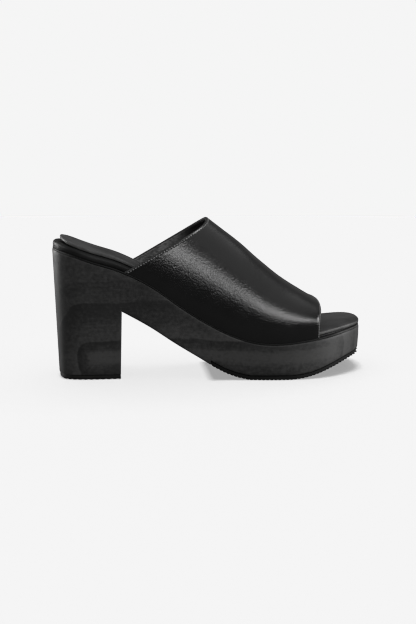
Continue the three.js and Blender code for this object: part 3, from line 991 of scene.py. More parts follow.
@dataclass(frozen=True)
class Thread:
    """Waxed sewing thread."""

    name: str = "vamp_thread"
    dark: Colour = grey(0.12)
    light: Colour = grey(0.3)
    twist_scale: float = 5000.0
    twist_mm: float = 0.05
    roughness: float = 0.5

    def material(self) -> bpy.types.Material:
        """Makes the finish.

        Returns:
            The material.
        """
        t = Tree(self.name)
        twist = t.noise(t.place(), self.twist_scale, 1.0)
        colour = t.mix(twist, self.dark, self.light)
        relief = t.bump(twist, self.twist_mm)
        return t.finish({"Base Color": colour, "Roughness": self.roughness, "Normal": relief})


@dataclass
class WoodenSole:
    """The carved wooden sole: platform, waist and block heel in one."""

    last: Last
    stations: int = 150
    top_strips: int = 14
    wall_strips: int = 9
    low_strips: int = 14
    foot_strips: int = 8
    corner_steps: int = 5
    breast_rings: int = 8
    low_radius: float = 1.3
    heel_foot_radius: float = 0.5
    breast_radius: float = 0.8
    band_end: float = 0.7
    tuck_above: float = 1.0
    tuck_fade: float = 3.0
    ring_gap: float = 0.3
    sliver: float = 0.02
    # Where the wood's edges turn pale, from wear and from a painted highlight: at the heel's back, up its
    # height, and at the toe.
    rubbed_and_lit_heel: tuple[float, float] = (1.0, 5.0)
    rubbed_and_lit_height: tuple[float, float] = (3.0, 30.0)
    rubbed_and_lit_toe: tuple[float, float] = (16.0, 1.0)
    toe_share: float = 0.8

    def ring(self, distance: float, in_heel: bool, drop: float = 1.0, tuck: float = 0.0) -> Array:
        """One section of the wood.

        Args:
            distance: from the back of the heel.
            in_heel: whether the section goes down the block heel.
            drop: how far down the heel's breast it goes, from 0 to 1.
            tuck: how far in the heel's wall lies here, to round the breast's upright edges.

        Returns:
            The section's points, once round.
        """
        last = self.last
        turn = float(last.turn_of(distance))
        top = float(last.seat_height(distance))
        breast_top = float(last.walk_height(last.heel_length))
        rubber = last.outsole_thickness + last.clearance if distance > last.outsole_start else 0.0
        heel_low = last.top_piece_thickness + last.clearance
        fore_low = float(last.walk_height(distance)) + rubber
        middle = (breast_top if in_heel else fore_low) + self.low_radius
        inward, down = corner(last.wood_edge_radius, self.corner_steps)
        wall = np.linspace(top - down[-1], middle, self.wall_strips + 1)[1:]
        upper_shares = np.linspace(-1.0, 1.0, self.top_strips + 1)[1:-1]
        foot_shares = np.linspace(self.band_end, -self.band_end, self.foot_strips + 1)[1:-1]

        def place(share: Array | float, height: Array | float, extra: Array | float) -> Array:
            """Points of the wall, tucked in and raked where the section goes down the heel.

            Args:
                share: -1 at the outer side to 1 at the inner side.
                height: heights over the floor.
                extra: how much further in than the wall.

            Returns:
                One X, Y and Z for each.
            """
            points = last.wood_points(turn, share, height, extra)
            if in_heel:
                below = smooth_step(breast_top + self.tuck_above - points[:, 2], 0.0, self.tuck_fade)
                points[:, 1] -= np.sign(share) * tuck * below
                raked = np.clip(1.0 - points[:, 2] / breast_top, 0.0, 1.0)
                points[:, 0] -= last.heel_breast_rake * raked * (distance / last.heel_length) ** 2
            return points

        def side(sign: float) -> Array:
            """The rounded upper edge and the wall under it, at the side of that sign."""
            return np.concatenate([place(sign, top - down, inward), place(sign, wall, 0.0)])

        def fore_lower(sign: float) -> Array:
            """The lower edge and part of the underside, ahead of the heel.

            Args:
                sign: the side.

            Returns:
                The points, downwards and inwards.
            """
            c_in, c_down = corner(self.low_radius, self.corner_steps)
            band = np.linspace(1.0, self.band_end, self.low_strips - len(c_in) + 2)[1:]
            rounded = place(sign, fore_low + c_down[::-1][1:], c_in[::-1][1:])
            return np.concatenate([rounded, place(sign * band, fore_low, self.low_radius)])

        def heel_lower(sign: float) -> Array:
            """The block heel's wall and lower edge.

            Args:
                sign: the side.

            Returns:
                The points, downwards.
            """
            c_in, c_down = corner(self.heel_foot_radius, self.corner_steps)
            count = self.low_strips - len(c_in)
            heights = np.linspace(middle, heel_low + self.heel_foot_radius, count + 1)[1:]
            rounded = place(sign, heel_low + c_down[::-1], c_in[::-1])
            return np.concatenate([place(sign, heights, 0.0), rounded])

        fore_foot = place(foot_shares, fore_low, self.low_radius)
        low_parts = [fore_lower(1.0), fore_foot, fore_lower(-1.0)[::-1]]
        if in_heel:
            heel_foot = place(foot_shares / self.band_end, heel_low, self.heel_foot_radius)
            heel_parts = [heel_lower(1.0), heel_foot, heel_lower(-1.0)[::-1]]
            low_parts = [a * drop + b * (1.0 - drop) for a, b in zip(heel_parts, low_parts)]
        upper = place(upper_shares, top, last.wood_edge_radius)
        return np.concatenate([upper, side(1.0), *low_parts, side(-1.0)[::-1]])

    def rings(self) -> list[Array]:
        """All the sections, from the back of the heel to the toe.

        Returns:
            The sections.
        """
        last = self.last
        near = self.breast_radius + self.ring_gap
        distances = last.distance_of(np.linspace(0.0, 180.0, self.stations + 1))
        clear_heel = np.abs(distances - last.heel_length) > near
        clear_step = np.abs(distances - last.outsole_start) > near
        kept = distances[clear_heel & clear_step]
        rings = [self.ring(float(d), True) for d in kept if d < last.heel_length]
        for angle in np.linspace(0.0, math.pi / 2.0, self.corner_steps + 1):
            back = self.breast_radius * (1.0 - math.sin(angle))
            tuck = self.breast_radius * (1.0 - math.cos(angle))
            rings.append(self.ring(last.heel_length - back, True, 1.0, tuck))
        for drop in np.linspace(1.0, 0.0, self.breast_rings + 1)[1:]:
            tuck = self.breast_radius * float(drop > 0)
            rings.append(self.ring(last.heel_length, True, float(drop), tuck))
        fore = [float(d) for d in kept if d > last.heel_length]
        fore += [last.outsole_start - self.sliver, last.outsole_start + self.sliver]
        rings += [self.ring(d, False) for d in sorted(fore)]
        return rings

    def wear_and_highlight_share(self, points: Array) -> Array:
        """1 where the wood is worn pale and painted with a highlight, at the heel's back and the toe, and 0 a
        few millimetres on.

        Args:
            points: X, Y and Z in rows.

        Returns:
            A share for each.
        """
        last = self.last
        heel_back = 1.0 - smooth_step(points[:, 0], *self.rubbed_and_lit_heel)
        toe = smooth_step(points[:, 0], *(last.sole_length - behind for behind in self.rubbed_and_lit_toe))
        return np.maximum(heel_back * smooth_step(points[:, 2], *self.rubbed_and_lit_height), self.toe_share * toe)

    def build(self, material: bpy.types.Material) -> bpy.types.Object:
        """Makes the wooden sole.

        Args:
            material: the stained wood.

        Returns:
            The piece.
        """
        # The stored edge share carries both wear and a painted highlight.
        piece = loft("carved_wooden_sole", self.rings(), self.last, numbers={"edge": self.wear_and_highlight_share})
        dress(piece, [material])
        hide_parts("wooden_sole")
        return piece


@dataclass
class HeelTopPiece:
    """The rubber top piece under the heel, with a shallow wave in its walking face."""

    last: Last
    inset: float = 0.5
    stations: int = 70
    strips: int = 14
    corner_steps: int = 4
    radius: float = 0.9
    wave_depth: float = 0.35
    wave_pitch: float = 4.6
    top_radius: float = 0.25

    def build(self, material: bpy.types.Material) -> bpy.types.Object:
        """Makes the top piece.

        Args:
            material: the rubber.

        Returns:
            The piece.
        """
        last = self.last
        rings = []
        inward, down = corner(self.radius, self.corner_steps)
        top_in, top_down = corner(self.top_radius, 2)
        for turn in np.linspace(0.0, float(last.turn_of(last.heel_length)), self.stations + 1):
            distance = float(last.distance_of(turn))
            wave = self.wave_depth * (0.5 - 0.5 * math.cos(2.0 * math.pi * distance / self.wave_pitch))
            shares = np.linspace(-1.0, 1.0, self.strips + 1)
            high = last.top_piece_thickness
            parts = [
                last.wood_points(turn, shares, high, self.inset + top_in[0]),
                last.wood_points(turn, 1.0, high - top_down[1:], self.inset + top_in[1:]),
                last.wood_points(turn, 1.0, wave + down[::-1], self.inset + inward[::-1]),
                last.wood_points(turn, shares[::-1], wave, self.inset + inward[0]),
                last.wood_points(turn, -1.0, wave + down, self.inset + inward),
                last.wood_points(turn, -1.0, high - top_down[:0:-1], self.inset + top_in[:0:-1]),
            ]
            ring = np.concatenate(parts)
            ring[:, 0] -= last.heel_breast_rake * (distance / last.heel_length) ** 2
            # Now the first point pairs with the last, as filled ends need
            rings.append(np.roll(ring, 1, axis=0))
        piece = loft("rubber_top_piece", rings, last, filled_ends=True)
        dress(piece, [material])
        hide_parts("heel_top_piece")
        return piece


@dataclass
class Outsole:
    """The rubber outsole under the forefoot: a smooth upper layer with cross ribs under it."""

    last: Last
    inset: float = 0.5
    rib_depth: float = 0.35
    rib_width: float = 2.6
    rib_pitch: float = 3.0
    stations: int = 110
    strips: int = 12
    corner_steps: int = 3
    radius: float = 0.35
    low_inset: float = 0.7
    rib_inset: float = 1.0

    def slab(self, material: bpy.types.Material) -> bpy.types.Object:
        """Makes the smooth upper layer.

        Args:
            material: the rubber.

        Returns:
            The piece.
        """
        last = self.last
        first = float(last.turn_of(last.outsole_start + last.clearance))
        inward, down = corner(self.radius, self.corner_steps)
        rings = []
        for turn in np.linspace(first, 180.0, self.stations + 1):
            low = float(last.walk_height(last.distance_of(turn)))
            high = low + last.outsole_thickness
            base = low + self.rib_depth
            shares = np.linspace(-1.0, 1.0, self.strips + 1)
            rings.append(np.concatenate([
                last.wood_points(turn, shares, high, self.inset),
                last.wood_points(turn, 1.0, base + down[::-1], self.low_inset + inward[::-1]),
                last.wood_points(turn, shares[1:-1][::-1], base, self.low_inset + self.radius),
                last.wood_points(turn, -1.0, base + down, self.low_inset + inward),
            ]))
        piece = loft("ribbed_outsole", rings, last, filled_ends=True)
        dress(piece, [material])
        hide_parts("forefoot_outsole")
        return piece

    def ribs(self, material: bpy.types.Material) -> bpy.types.Object:
        """Makes the cross ribs, one bar at each step along the walking line.

        Args:
            material: the rubber.

        Returns:
            The piece.
        """
        last = self.last
        places, spans, slopes = [], [], []
        both = np.array([-1.0, 1.0])
        distance = last.outsole_start + self.rib_width
        while distance < last.sole_length - self.rib_width:
            base = float(last.walk_height(distance)) + self.rib_depth
            rise = float(last.walk_height(distance + 1.0) - last.walk_height(distance - 1.0)) / 2.0
            turns = [float(last.turn_of(distance + side * self.rib_width / 2.0)) for side in both]
            edges = [last.wood_points(turn, both, base, self.rib_inset) for turn in turns]
            outer, inner = max(edge[0][1] for edge in edges), min(edge[1][1] for edge in edges)
            places.append(np.array([distance, (outer + inner) / 2.0, base]))
            spans.append((inner - outer) * MM)
            slopes.append(-math.atan(rise))
            distance += self.rib_pitch * math.cos(math.atan(rise))
        piece = point_cloud("outsole_ribs", np.array(places), last)
        for name, values in (("span", spans), ("slope", slopes)):
            piece.data.attributes.new(name, "FLOAT", "POINT").data.foreach_set("value", values)
        tree = RibTree()
        tree.apply(piece, {"Width": self.rib_width * MM, "Depth": self.rib_depth * MM, "Material": material})
        dress(piece, [material])
        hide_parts("forefoot_outsole")
        return piece

    def build(self, material: bpy.types.Material) -> list[bpy.types.Object]:
        """Makes both pieces."""
        return [self.slab(material), self.ribs(material)]


def point_cloud(name: str, points: Array, last: Last, chain: bool = False) -> bpy.types.Object:
    """An object of bare points, joined one to the next where chain is set.

    Args:
        name: the object's name.
        points: X, Y and Z in rows.
        last: the shoe's shared sizes.
        chain: whether to join them.

    Returns:
        The object.
    """
    mesh = bpy.data.meshes.new(name)
    edges = [(i, i + 1) for i in range(len(points) - 1)] if chain else []
    mesh.from_pydata(((points + last.shift) * MM).tolist(), edges, [])
    piece = bpy.data.objects.new(name, mesh)
    bpy.context.scene.collection.objects.link(piece)
    return piece


class RepeatTree(Nodes):
    """A Geometry Nodes tree that repeats a small shape over the points of a piece."""

    name = "repeat"
    sizes: tuple[str, ...] = ()

    def __init__(self) -> None:
        """Makes the tree with its named inputs."""
        super().__init__(bpy.data.node_groups.new(self.name, "GeometryNodeTree"))
        face = self.tree.interface
        kinds = {"Geometry": "Geometry", **dict.fromkeys(self.sizes, "Float"), "Material": "Material"}
        self.sockets = {}
        for name, kind in kinds.items():
            self.sockets[name] = face.new_socket(name, in_out="INPUT", socket_type=f"NodeSocket{kind}")
        face.new_socket("Geometry", in_out="OUTPUT", socket_type="NodeSocketGeometry")
        self.given = self.node("NodeGroupInput").outputs
        self.close(self.shape())

    def vector(self, x: object, y: object, z: object) -> bpy.types.NodeSocket:
        """A vector from three numbers or sockets."""
        return self.out("ShaderNodeCombineXYZ", {0: x, 1: y, 2: z})

    def shape(self) -> bpy.types.NodeSocket:
        """The instances on their points. Each tree has its own."""
        raise NotImplementedError

    def close(self, instances: bpy.types.NodeSocket) -> None:
        """Makes the instances real, smooth and of one material.

        Args:
            instances: the repeated shapes.
        """
        real = self.out("GeometryNodeRealizeInstances", {0: instances})
        smooth = self.out("GeometryNodeSetShadeSmooth", {0: real})
        inputs = {"Geometry": smooth, "Material": self.given["Material"]}
        self.node("NodeGroupOutput", inputs={0: self.out("GeometryNodeSetMaterial", inputs)})

    def apply(self, piece: bpy.types.Object, values: dict) -> None:
        """Runs the tree on a piece and keeps the result as its plain mesh.

        Args:
            piece: the object of points.
            values: a value for each named input.
        """
        modifier = piece.modifiers.new(self.name, "NODES")
        modifier.node_group = self.tree
        for key, value in values.items():
            modifier[self.sockets[key].identifier] = value
        graph = bpy.context.evaluated_depsgraph_get()
        graph.update()
        mesh = bpy.data.meshes.new_from_object(piece.evaluated_get(graph))
        piece.modifiers.clear()
        piece.data = mesh


class RibTree(RepeatTree):
    """Rounded bars across the outsole, as long as their points' span and turned by their slope."""

    name = "cross_ribs"
    sizes = ("Width", "Depth")

    def shape(self) -> bpy.types.NodeSocket:
        """A flattened bar on each point.

        Returns:
            The bars.
        """
        half = self.out("ShaderNodeMath", {0: self.given["Width"], 1: 0.5}, {"operation": "MULTIPLY"})
        bar = self.out("GeometryNodeMeshCylinder", {"Vertices": 8, "Radius": 1.0, "Depth": 1.0})
        lying = {"Geometry": bar, "Rotation": (math.pi / 2.0, math.pi / 8.0, 0.0)}
        laid = self.out("GeometryNodeTransform", lying)
        sized = {"Geometry": laid, "Scale": self.vector(half, 1.0, self.given["Depth"])}
        rib = self.out("GeometryNodeTransform", sized)
        number = {"data_type": "FLOAT"}
        span = self.out("GeometryNodeInputNamedAttribute", {"Name": "span"}, number)
        slope = self.out("GeometryNodeInputNamedAttribute", {"Name": "slope"}, number)
        points = self.out("GeometryNodeMeshToPoints", {0: self.given["Geometry"]})
        turned, longer = self.vector(0.0, slope, 0.0), self.vector(1.0, span, 1.0)
        inputs = {"Points": points, "Instance": rib, "Rotation": turned, "Scale": longer}
        return self.out("GeometryNodeInstanceOnPoints", inputs)


class StitchTree(RepeatTree):
    """Short stitches one after another along a path, each turned to follow it."""

    name = "stitches"
    sizes = ("Pitch", "Length", "Thickness")

    def shape(self) -> bpy.types.NodeSocket:
        """A small rounded stitch at each step along the path.

        Returns:
            The stitches.
        """
        ball = self.out("GeometryNodeMeshUVSphere", {"Segments": 8, "Rings": 6, "Radius": 0.5})
        thick = self.given["Thickness"]
        sized = {"Geometry": ball, "Scale": self.vector(self.given["Length"], thick, thick)}
        stitch = self.out("GeometryNodeTransform", sized)
        curve = self.out("GeometryNodeMeshToCurve", {0: self.given["Geometry"]})
        steps = {"Curve": curve, "Length": self.given["Pitch"]}
        even = self.out("GeometryNodeResampleCurve", steps, {"mode": "LENGTH"})
        points = self.node("GeometryNodeCurveToPoints", {"mode": "EVALUATED"}, {0: even})
        along = {"Vector": points.outputs["Tangent"]}
        turned = self.out("FunctionNodeAlignRotationToVector", along, {"axis": "X"})
        inputs = {"Points": points.outputs["Points"], "Instance": stitch, "Rotation": turned}
        return self.out("GeometryNodeInstanceOnPoints", inputs)


@dataclass
class Layer:
    """A layer that follows the seat between two heights over it, with a rounded upper edge."""

    last: Last
    name: str
    node: str
    low: Callable[[Array], Array]
    high: Callable[[Array], Array]
    inset_along: Callable[[float], float]
    inset_across: Callable[[float], float]
    radius: float
    dish: Callable[[Array, Array], Array] | None = None
    stations: int = 190
    strips: int = 26
    corner_steps: int = 6
    largest_rounding: float = 0.6
    lower_share: float = 0.35
    lower_cap: float = 0.8

    def ring(self, turn: float) -> Array:
        """One section of the layer at a turn.

        Args:
            turn: the turn.

        Returns:
            The section's points, once round.
        """
        last = self.last
        distance = float(last.distance_of(turn))
        radius = min(self.radius, self.largest_rounding * float(self.high(distance) - self.low(distance)))
        lower = self.lower_share * min(radius, self.lower_cap)
        inward, down = corner(radius, self.corner_steps)
        low_in, low_up = corner(lower, 2)

        def place(
            share: Array | float, height: Callable, offset: Array | float, extra: Array | float
        ) -> Array:
            """Points of one of the layer's faces or edges.

            Args:
                share: -1 at the outer side to 1 at the inner side.
                height: the face's height over the seat.
                offset: how far over that.
                extra: how much further in than the layer's edge.

            Returns:
                One X, Y and Z for each.
            """
            along = self.inset_along(distance) + extra
            wide = self.inset_across(distance) + extra
            flat = last.across(turn, share, along, wide)
            z = last.seat_height(flat[:, 0]) + height(flat[:, 0]) + offset
            return np.concatenate([flat, z[:, None]], axis=1)

        shares = np.linspace(-1.0, 1.0, self.strips + 1)[1:-1]
        upper = place(shares, self.high, 0.0, radius)
        if self.dish is not None:
            upper[:, 2] -= self.dish(distance, shares)
        return np.concatenate([
            upper,
            place(1.0, self.high, -down, inward),
            place(1.0, self.low, low_up[::-1], low_in[::-1]),
            place(shares[::-1], self.low, 0.0, lower),
            place(-1.0, self.low, low_up, low_in),
            place(-1.0, self.high, -down[::-1], inward[::-1]),
        ])

    def build(self) -> bpy.types.Object:
        """Makes the layer, which stands for its solid.

        Returns:
            The piece.
        """
        rings = [self.ring(float(turn)) for turn in np.linspace(0.0, 180.0, self.stations + 1)]
        piece = loft(self.name, rings, self.last)
        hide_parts(self.node)
        return piece


@dataclass
class FootLayers:
    """The rand, the wrapped footbed and the sock insole."""

    last: Last
    rand_inset: float = 0.35
    rand_edge_radius: float = 0.35
    footbed_heel_thickness: float = 5.6
    footbed_toe_thickness: float = 0.8
    footbed_edge_radius: float = 2.8
    footbed_heel_inset: float = 0.6
    footbed_narrows_from: float = 16.0
    footbed_thins_to: float = 150.0
    insole_thickness: float = 2.1
    insole_edge_radius: float = 0.6
    insole_back_gap: float = 5.4
    insole_side_gap: float = 1.2
    insole_toe_inset: float = 0.2
    insole_curl: float = 3.4
    insole_curl_length: float = 24.0
    insole_tip_curl: float = 1.3
    insole_tip_length: float = 9.0
    heel_dish: float = 0.7
    dishes: tuple[tuple[float, float, float], ...] = ((1.0, 32.0, 22.0), (0.5, 168.0, 24.0))
    stitch_inset: float = 2.4
    stitch_lift: float = 0.02
    stitch_turns: float = 62.0
    stitch_pitch: float = 2.5
    stitch_length: float = 1.9
    stitch_thickness: float = 0.36

    def footbed_high(self, distance: Array | float) -> Array:
        """Height over the seat of the footbed's upper face.

        Args:
            distance: from the back of the heel.

        Returns:
            A height for each.
        """
        thin = smooth_step(distance, self.last.heel_length, self.footbed_thins_to)
        lost = (self.footbed_toe_thickness - self.footbed_heel_thickness) * thin
        return self.last.footbed_low + (self.footbed_heel_thickness + lost)

    def insole_low(self, distance: Array | float) -> Array:
        """Height over the seat of the insole's underside. Its back end curls up.

        Args:
            distance: from the back of the heel.

        Returns:
            A height for each.
        """
        distance = np.asarray(distance)
        curl = self.insole_curl * np.clip(1.0 - distance / self.insole_curl_length, 0.0, None) ** 2
        tip = self.insole_tip_curl * np.clip(1.0 - distance / self.insole_tip_length, 0.0, None) ** 2
        curl = curl + tip
        return self.footbed_high(distance) + self.last.clearance + curl

    def insole_high(self, distance: Array | float) -> Array:
        """Height over the seat of the insole's upper face."""
        return self.insole_low(distance) + self.insole_thickness

    def footbed_inset(self, distance: float) -> float:
        """How far in from the wood's edge the footbed lies.

        Args:
            distance: from the back of the heel.

        Returns:
            The inset.
        """
        end = self.last.heel_length - self.last.heel_back_rake
        narrowed = float(smooth_step(distance, self.footbed_narrows_from, end))
        return self.footbed_heel_inset + (self.last.under_vamp_inset - self.footbed_heel_inset) * narrowed

    def insole_across(self, distance: float) -> float:
        """How far in the insole lies, across the shoe.

        Args:
            distance: from the back of the heel.

        Returns:
            The inset.
        """
        toe = self.last.sole_length - self.insole_toe_inset
        front = float(smooth_step(distance, self.last.front_at_ridge, toe))
        side = self.footbed_inset(distance) + self.insole_side_gap
        return side + (self.insole_toe_inset - side) * front

    def insole_along(self, distance: float) -> float:
        """How far in the insole lies, along the shoe."""
        back = 1.0 - float(smooth_step(distance, 0.0, self.last.heel_length))
        return self.insole_across(distance) + (self.insole_back_gap - self.insole_side_gap) * back

    def dish(self, distance: float, shares: Array) -> Array:
        """How far the insole's upper face is pressed in by the foot.

        Args:
            distance: from the back of the heel.
            shares: -1 at the outer side to 1 at the inner side.

        Returns:
            A depth for each share.
        """
        pressed = sum(share * math.exp(-(((distance - at) / reach) ** 2)) for share, at, reach in self.dishes)
        return self.heel_dish * pressed * (1.0 - shares**2) ** 2

    def insole_stitches(self, material: bpy.types.Material) -> bpy.types.Object:
        """Makes the row of stitches near the insole's edge, round the heel.

        Args:
            material: the thread.

        Returns:
            The stitches.
        """
        last = self.last
        path = []
        heel_turns = np.linspace(0.0, self.stitch_turns, 50)
        for side, turns in ((-1.0, heel_turns[::-1]), (1.0, heel_turns[1:])):
            for turn in turns:
                distance = float(last.distance_of(turn))
                along = self.insole_along(distance) + self.stitch_inset
                wide = self.insole_across(distance) + self.stitch_inset
                flat = last.across(float(turn), np.array([side]), along, wide)[0]
                height = float(last.seat_height(flat[0]) + self.insole_high(flat[0]))
                path.append([flat[0], flat[1], height + self.stitch_lift])
        piece = point_cloud("insole_stitches", np.array(path), last, chain=True)
        sizes = {"Pitch": self.stitch_pitch, "Length": self.stitch_length, "Thickness": self.stitch_thickness}
        sizes = {key: size * MM for key, size in sizes.items()}
        StitchTree().apply(piece, {**sizes, "Material": material})
        dress(piece, [material])
        return piece

    def build(self, finishes: dict[str, bpy.types.Material]) -> list[bpy.types.Object]:
        """Makes the three layers and the insole's stitches.

        Args:
            finishes: the materials, by what they cover.

        Returns:
            The pieces.
        """
        last = self.last
        high = last.rand_low + last.rand_thickness

        def flat(height: float) -> Callable[[Array], Array]:
            """A height that is the same all along the shoe."""
            return lambda distance: height + 0.0 * np.asarray(distance, float)

        def rand_inset(distance: float) -> float:
            """The rand's inset, which is the same at every distance."""
            return self.rand_inset

        rand = Layer(
            last, "edge_rand", "rand", flat(last.rand_low), flat(high),
            rand_inset, rand_inset, self.rand_edge_radius,
        ).build()
        dress(rand, [finishes["rand"]])
        footbed = Layer(
            last, "wrapped_footbed", "footbed", flat(last.footbed_low), self.footbed_high,
            self.footbed_inset, self.footbed_inset, self.footbed_edge_radius,
        ).build()
        dress(footbed, [finishes["footbed"]])
        insole = Layer(
            last, "sock_insole", "insole", self.insole_low, self.insole_high,
            self.insole_along, self.insole_across, self.insole_edge_radius, self.dish,
        ).build()
        dress(insole, [finishes["insole"]])
        return [rand, footbed, insole, self.insole_stitches(finishes["thread"])]


CREASES = (
    Crease(0.62, 30.0, 0.80, 52.0, 6.5, 0.16),
    Crease(0.55, 62.0, 0.68, 88.0, 9.0, 0.2),
    Crease(0.32, 150.0, 0.52, 138.0, 8.0, 0.3),
    Crease(0.60, 146.0, 0.80, 128.0, 7.0, 0.25),
)


@dataclass
class Vamp:
    """The one broad band of leather over the foot, with its rolled rims and its stitches."""

    last: Last
    instep_rise: float = 79.0
    front_bow: float = 6.0
    front_bow_power: float = 1.5
    throat_angle: float = 29.3
    throat_inner_drop: float = 6.5
    throat_outer_drop: float = 1.7
    throat_outer_dip: float = 2.6
    tuck: float = 0.35
    round_steps: int = 150
    long_steps: int = 64
    rim_steps: int = 12
    rim_width: float = 4.2
    cap_steps: int = 6
    search_steps: int = 40
    nudge: float = 0.01
    stitch_from_rim: float = 1.7
    stitch_groove: float = 0.34
    stitch_pitch: float = 2.15
    stitch_length: float = 1.35
    stitch_thickness: float = 0.56
    front_stitch_gap: float = 1.2
    front_stitch_pitch: float = 1.9
    front_stitch_length: float = 1.25
    inner_relief: float = 0.6

    def __post_init__(self) -> None:
        """Works out the curves of the sections."""
        names = ("rise", "fullness", "ridge", "bulge", "hip")
        self.section = columns(SmoothColumn, VAMP_SECTIONS, "along", names)

    def point(self, distance: Array, lean: Array) -> Array:
        """Points of the outer face.

        Args:
            distance: from the back of the heel.
            lean: from -tuck at the outer base to pi + tuck at the inner base.

        Returns:
            One X, Y and Z for each.
        """
        last = self.last
        distance, lean = np.broadcast_arrays(np.asarray(distance, float), np.asarray(lean, float))
        along = distance / last.sole_length
        at = {name: curve(along) for name, curve in self.section.items()}
        turn = last.turn_of(distance)
        outer = lean < math.pi / 2.0
        sign = np.where(outer, -1.0, 1.0)
        wall = np.where(outer, last.outline["outer"](turn), last.outline["inner"](turn)) * last.ball_width
        ridge = at["ridge"] * last.ball_width
        reach = np.abs(wall - ridge)
        widest = reach + at["bulge"] * last.ball_width
        foot = reach - last.vamp_base_inset
        base = last.seat_height(distance) + last.footbed_low
        hip = at["hip"] * self.instep_rise
        top = at["rise"] * self.instep_rise - last.footbed_low
        angle = np.where(outer, lean, math.pi - lean)
        power = 2.0 / at["fullness"]
        tucked = np.clip(-angle / self.tuck, 0.0, 1.0)
        risen = np.clip(angle, 0.0, None)
        out_low = widest - (widest - foot) * tucked**2
        out_high = widest * np.abs(np.cos(risen)) ** power
        up = np.where(angle < 0, hip * (1.0 - tucked), hip + (top - hip) * np.sin(risen) ** power)
        out = np.where(angle < 0, out_low, out_high)
        return np.stack([distance, ridge + sign * out, base + up], axis=-1)

    def throat_height(self, points: Array) -> Array:
        """Height of the throat's cut at points of the outer face.

        Args:
            points: X, Y and Z in the last axis.

        Returns:
            A height for each.
        """
        last = self.last
        top = float(self.point(last.throat_at_ridge, math.pi / 2.0)[..., 2])
        slope = math.tan(math.radians(self.throat_angle))
        inner = np.clip(points[..., 1], 0.0, None) / (last.ball_width / 2.0)
        outer = np.clip(-points[..., 1] / (last.ball_width / 2.0), 0.0, 1.0)
        drop = self.throat_inner_drop * inner**2 + self.throat_outer_drop * outer**2
        dip = self.throat_outer_dip * np.sin(math.pi * outer)
        return top - slope * (last.throat_at_ridge - points[..., 0]) - drop - dip

    def throat(self, lean: Array) -> Array:
        """Where the throat's cut meets the outer face at each lean, found by halving.

        Args:
            lean: the leans.

        Returns:
            A distance for each.
        """
        last = self.last
        back = np.full(lean.shape, 0.15 * last.sole_length)
        front = np.full(lean.shape, last.throat_at_ridge + 0.08 * last.sole_length)
        for _ in range(self.search_steps):
            middle = (back + front) / 2.0
            points = self.point(middle, lean)
            over = points[..., 2] > self.throat_height(points)
            back = np.where(over, middle, back)
            front = np.where(over, front, middle)
        return front

    def front(self, lean: Array) -> Array:
        """Where the front edge lies at each lean."""
        over = np.sin(np.clip(lean, 0.0, math.pi)) ** self.front_bow_power
        return self.last.front_at_ridge - self.front_bow * (1.0 - over)

    def normal(self, distance: Array, lean: Array) -> Array:
        """The direction out of the outer face.

        Args:
            distance: from the back of the heel.
            lean: round the section.

        Returns:
            X, Y and Z for each, one long.
        """
        ahead = self.point(distance + self.nudge, lean) - self.point(distance - self.nudge, lean)
        low = np.clip(lean - self.nudge, -self.tuck, math.pi + self.tuck)
        high = np.clip(lean + self.nudge, -self.tuck, math.pi + self.tuck)
        about = self.point(distance, high) - self.point(distance, low)
        out = np.cross(ahead, about)
        return out / np.linalg.norm(out, axis=-1, keepdims=True)

    def stretch(self, rim: Callable[[Array], Array], lean: Array) -> Array:
        """How far from a rim, square to it, each millimetre along the shoe leads.

        Args:
            rim: where the rim lies at each lean.
            lean: the leans.

        Returns:
            Millimetres for each.
        """
        along = rim(lean)
        ahead = self.point(along + self.nudge, lean) - self.point(along - self.nudge, lean)
        ahead /= 2.0 * self.nudge
        low = np.clip(lean - self.nudge, -self.tuck, math.pi + self.tuck)
        high = np.clip(lean + self.nudge, -self.tuck, math.pi + self.tuck)
        edge = self.point(rim(high), high) - self.point(rim(low), low)
        edge /= np.linalg.norm(edge, axis=-1, keepdims=True)
        return np.linalg.norm(np.cross(ahead, edge), axis=-1)

    def relief(self, distance: Array, lean: Array, rim_gap: Array) -> Array:
        """How far creases and the stitched groove move the outer face, in millimetres.

        Args:
            distance: from the back of the heel.
            lean: round the section.
            rim_gap: how far the nearest rim is.

        Returns:
            How far outwards, for each.
        """
        moved = np.zeros(np.broadcast(distance, lean).shape)
        here = self.point(distance, lean)
        for crease in CREASES:
            reach = ((crease.along_from, crease.lean_from), (crease.along_to, crease.lean_to))
            ends = [self.point(at * self.last.sole_length, math.radians(tilt)) for at, tilt in reach]
            run = ends[1] - ends[0]
            share = np.clip(((here - ends[0]) @ run) / (run @ run), 0.0, 1.0)
            gap = np.linalg.norm(here - (ends[0] + share[..., None] * run), axis=-1)
            fade = np.sin(math.pi * np.clip(share, 0.04, 0.96)) ** 0.6
            side = (gap / crease.width) ** 2
            moved -= crease.depth * fade * (1.0 - 0.5 * side) * np.exp(-side)
        groove = np.exp(-(((rim_gap - self.stitch_from_rim) / 0.5) ** 2))
        seam = 0.12 * (1.0 - smooth_step(rim_gap, 0.6, self.stitch_from_rim + 1.4))
        return moved * smooth_step(rim_gap, 0.0, 6.0) - self.stitch_groove * groove + seam

    def cap(self, middle: Array, beside: Array, out: Array, floor: Array) -> Array:
        """Rounds a rim from the outer face to the inner one.

        Args:
            middle: the middle of the leather at the rim, one a band.
            beside: the middle of the leather a step in from the rim.
            out: the direction out of the outer face there.
            floor: the lowest height there.

        Returns:
            The rim's points, one row a band.
        """
        tangent = middle - beside
        tangent -= out * np.sum(tangent * out, axis=-1, keepdims=True)
        tangent /= np.linalg.norm(tangent, axis=-1, keepdims=True)
        angles = np.linspace(0.0, math.pi, self.cap_steps + 1)[1:-1, None]
        turned = np.cos(angles) * out[:, None] + np.sin(angles) * tangent[:, None]
        rim = middle[:, None] + self.last.leather_thickness / 2.0 * turned
        rim[..., 2] = np.maximum(rim[..., 2], floor[:, None])
        return rim

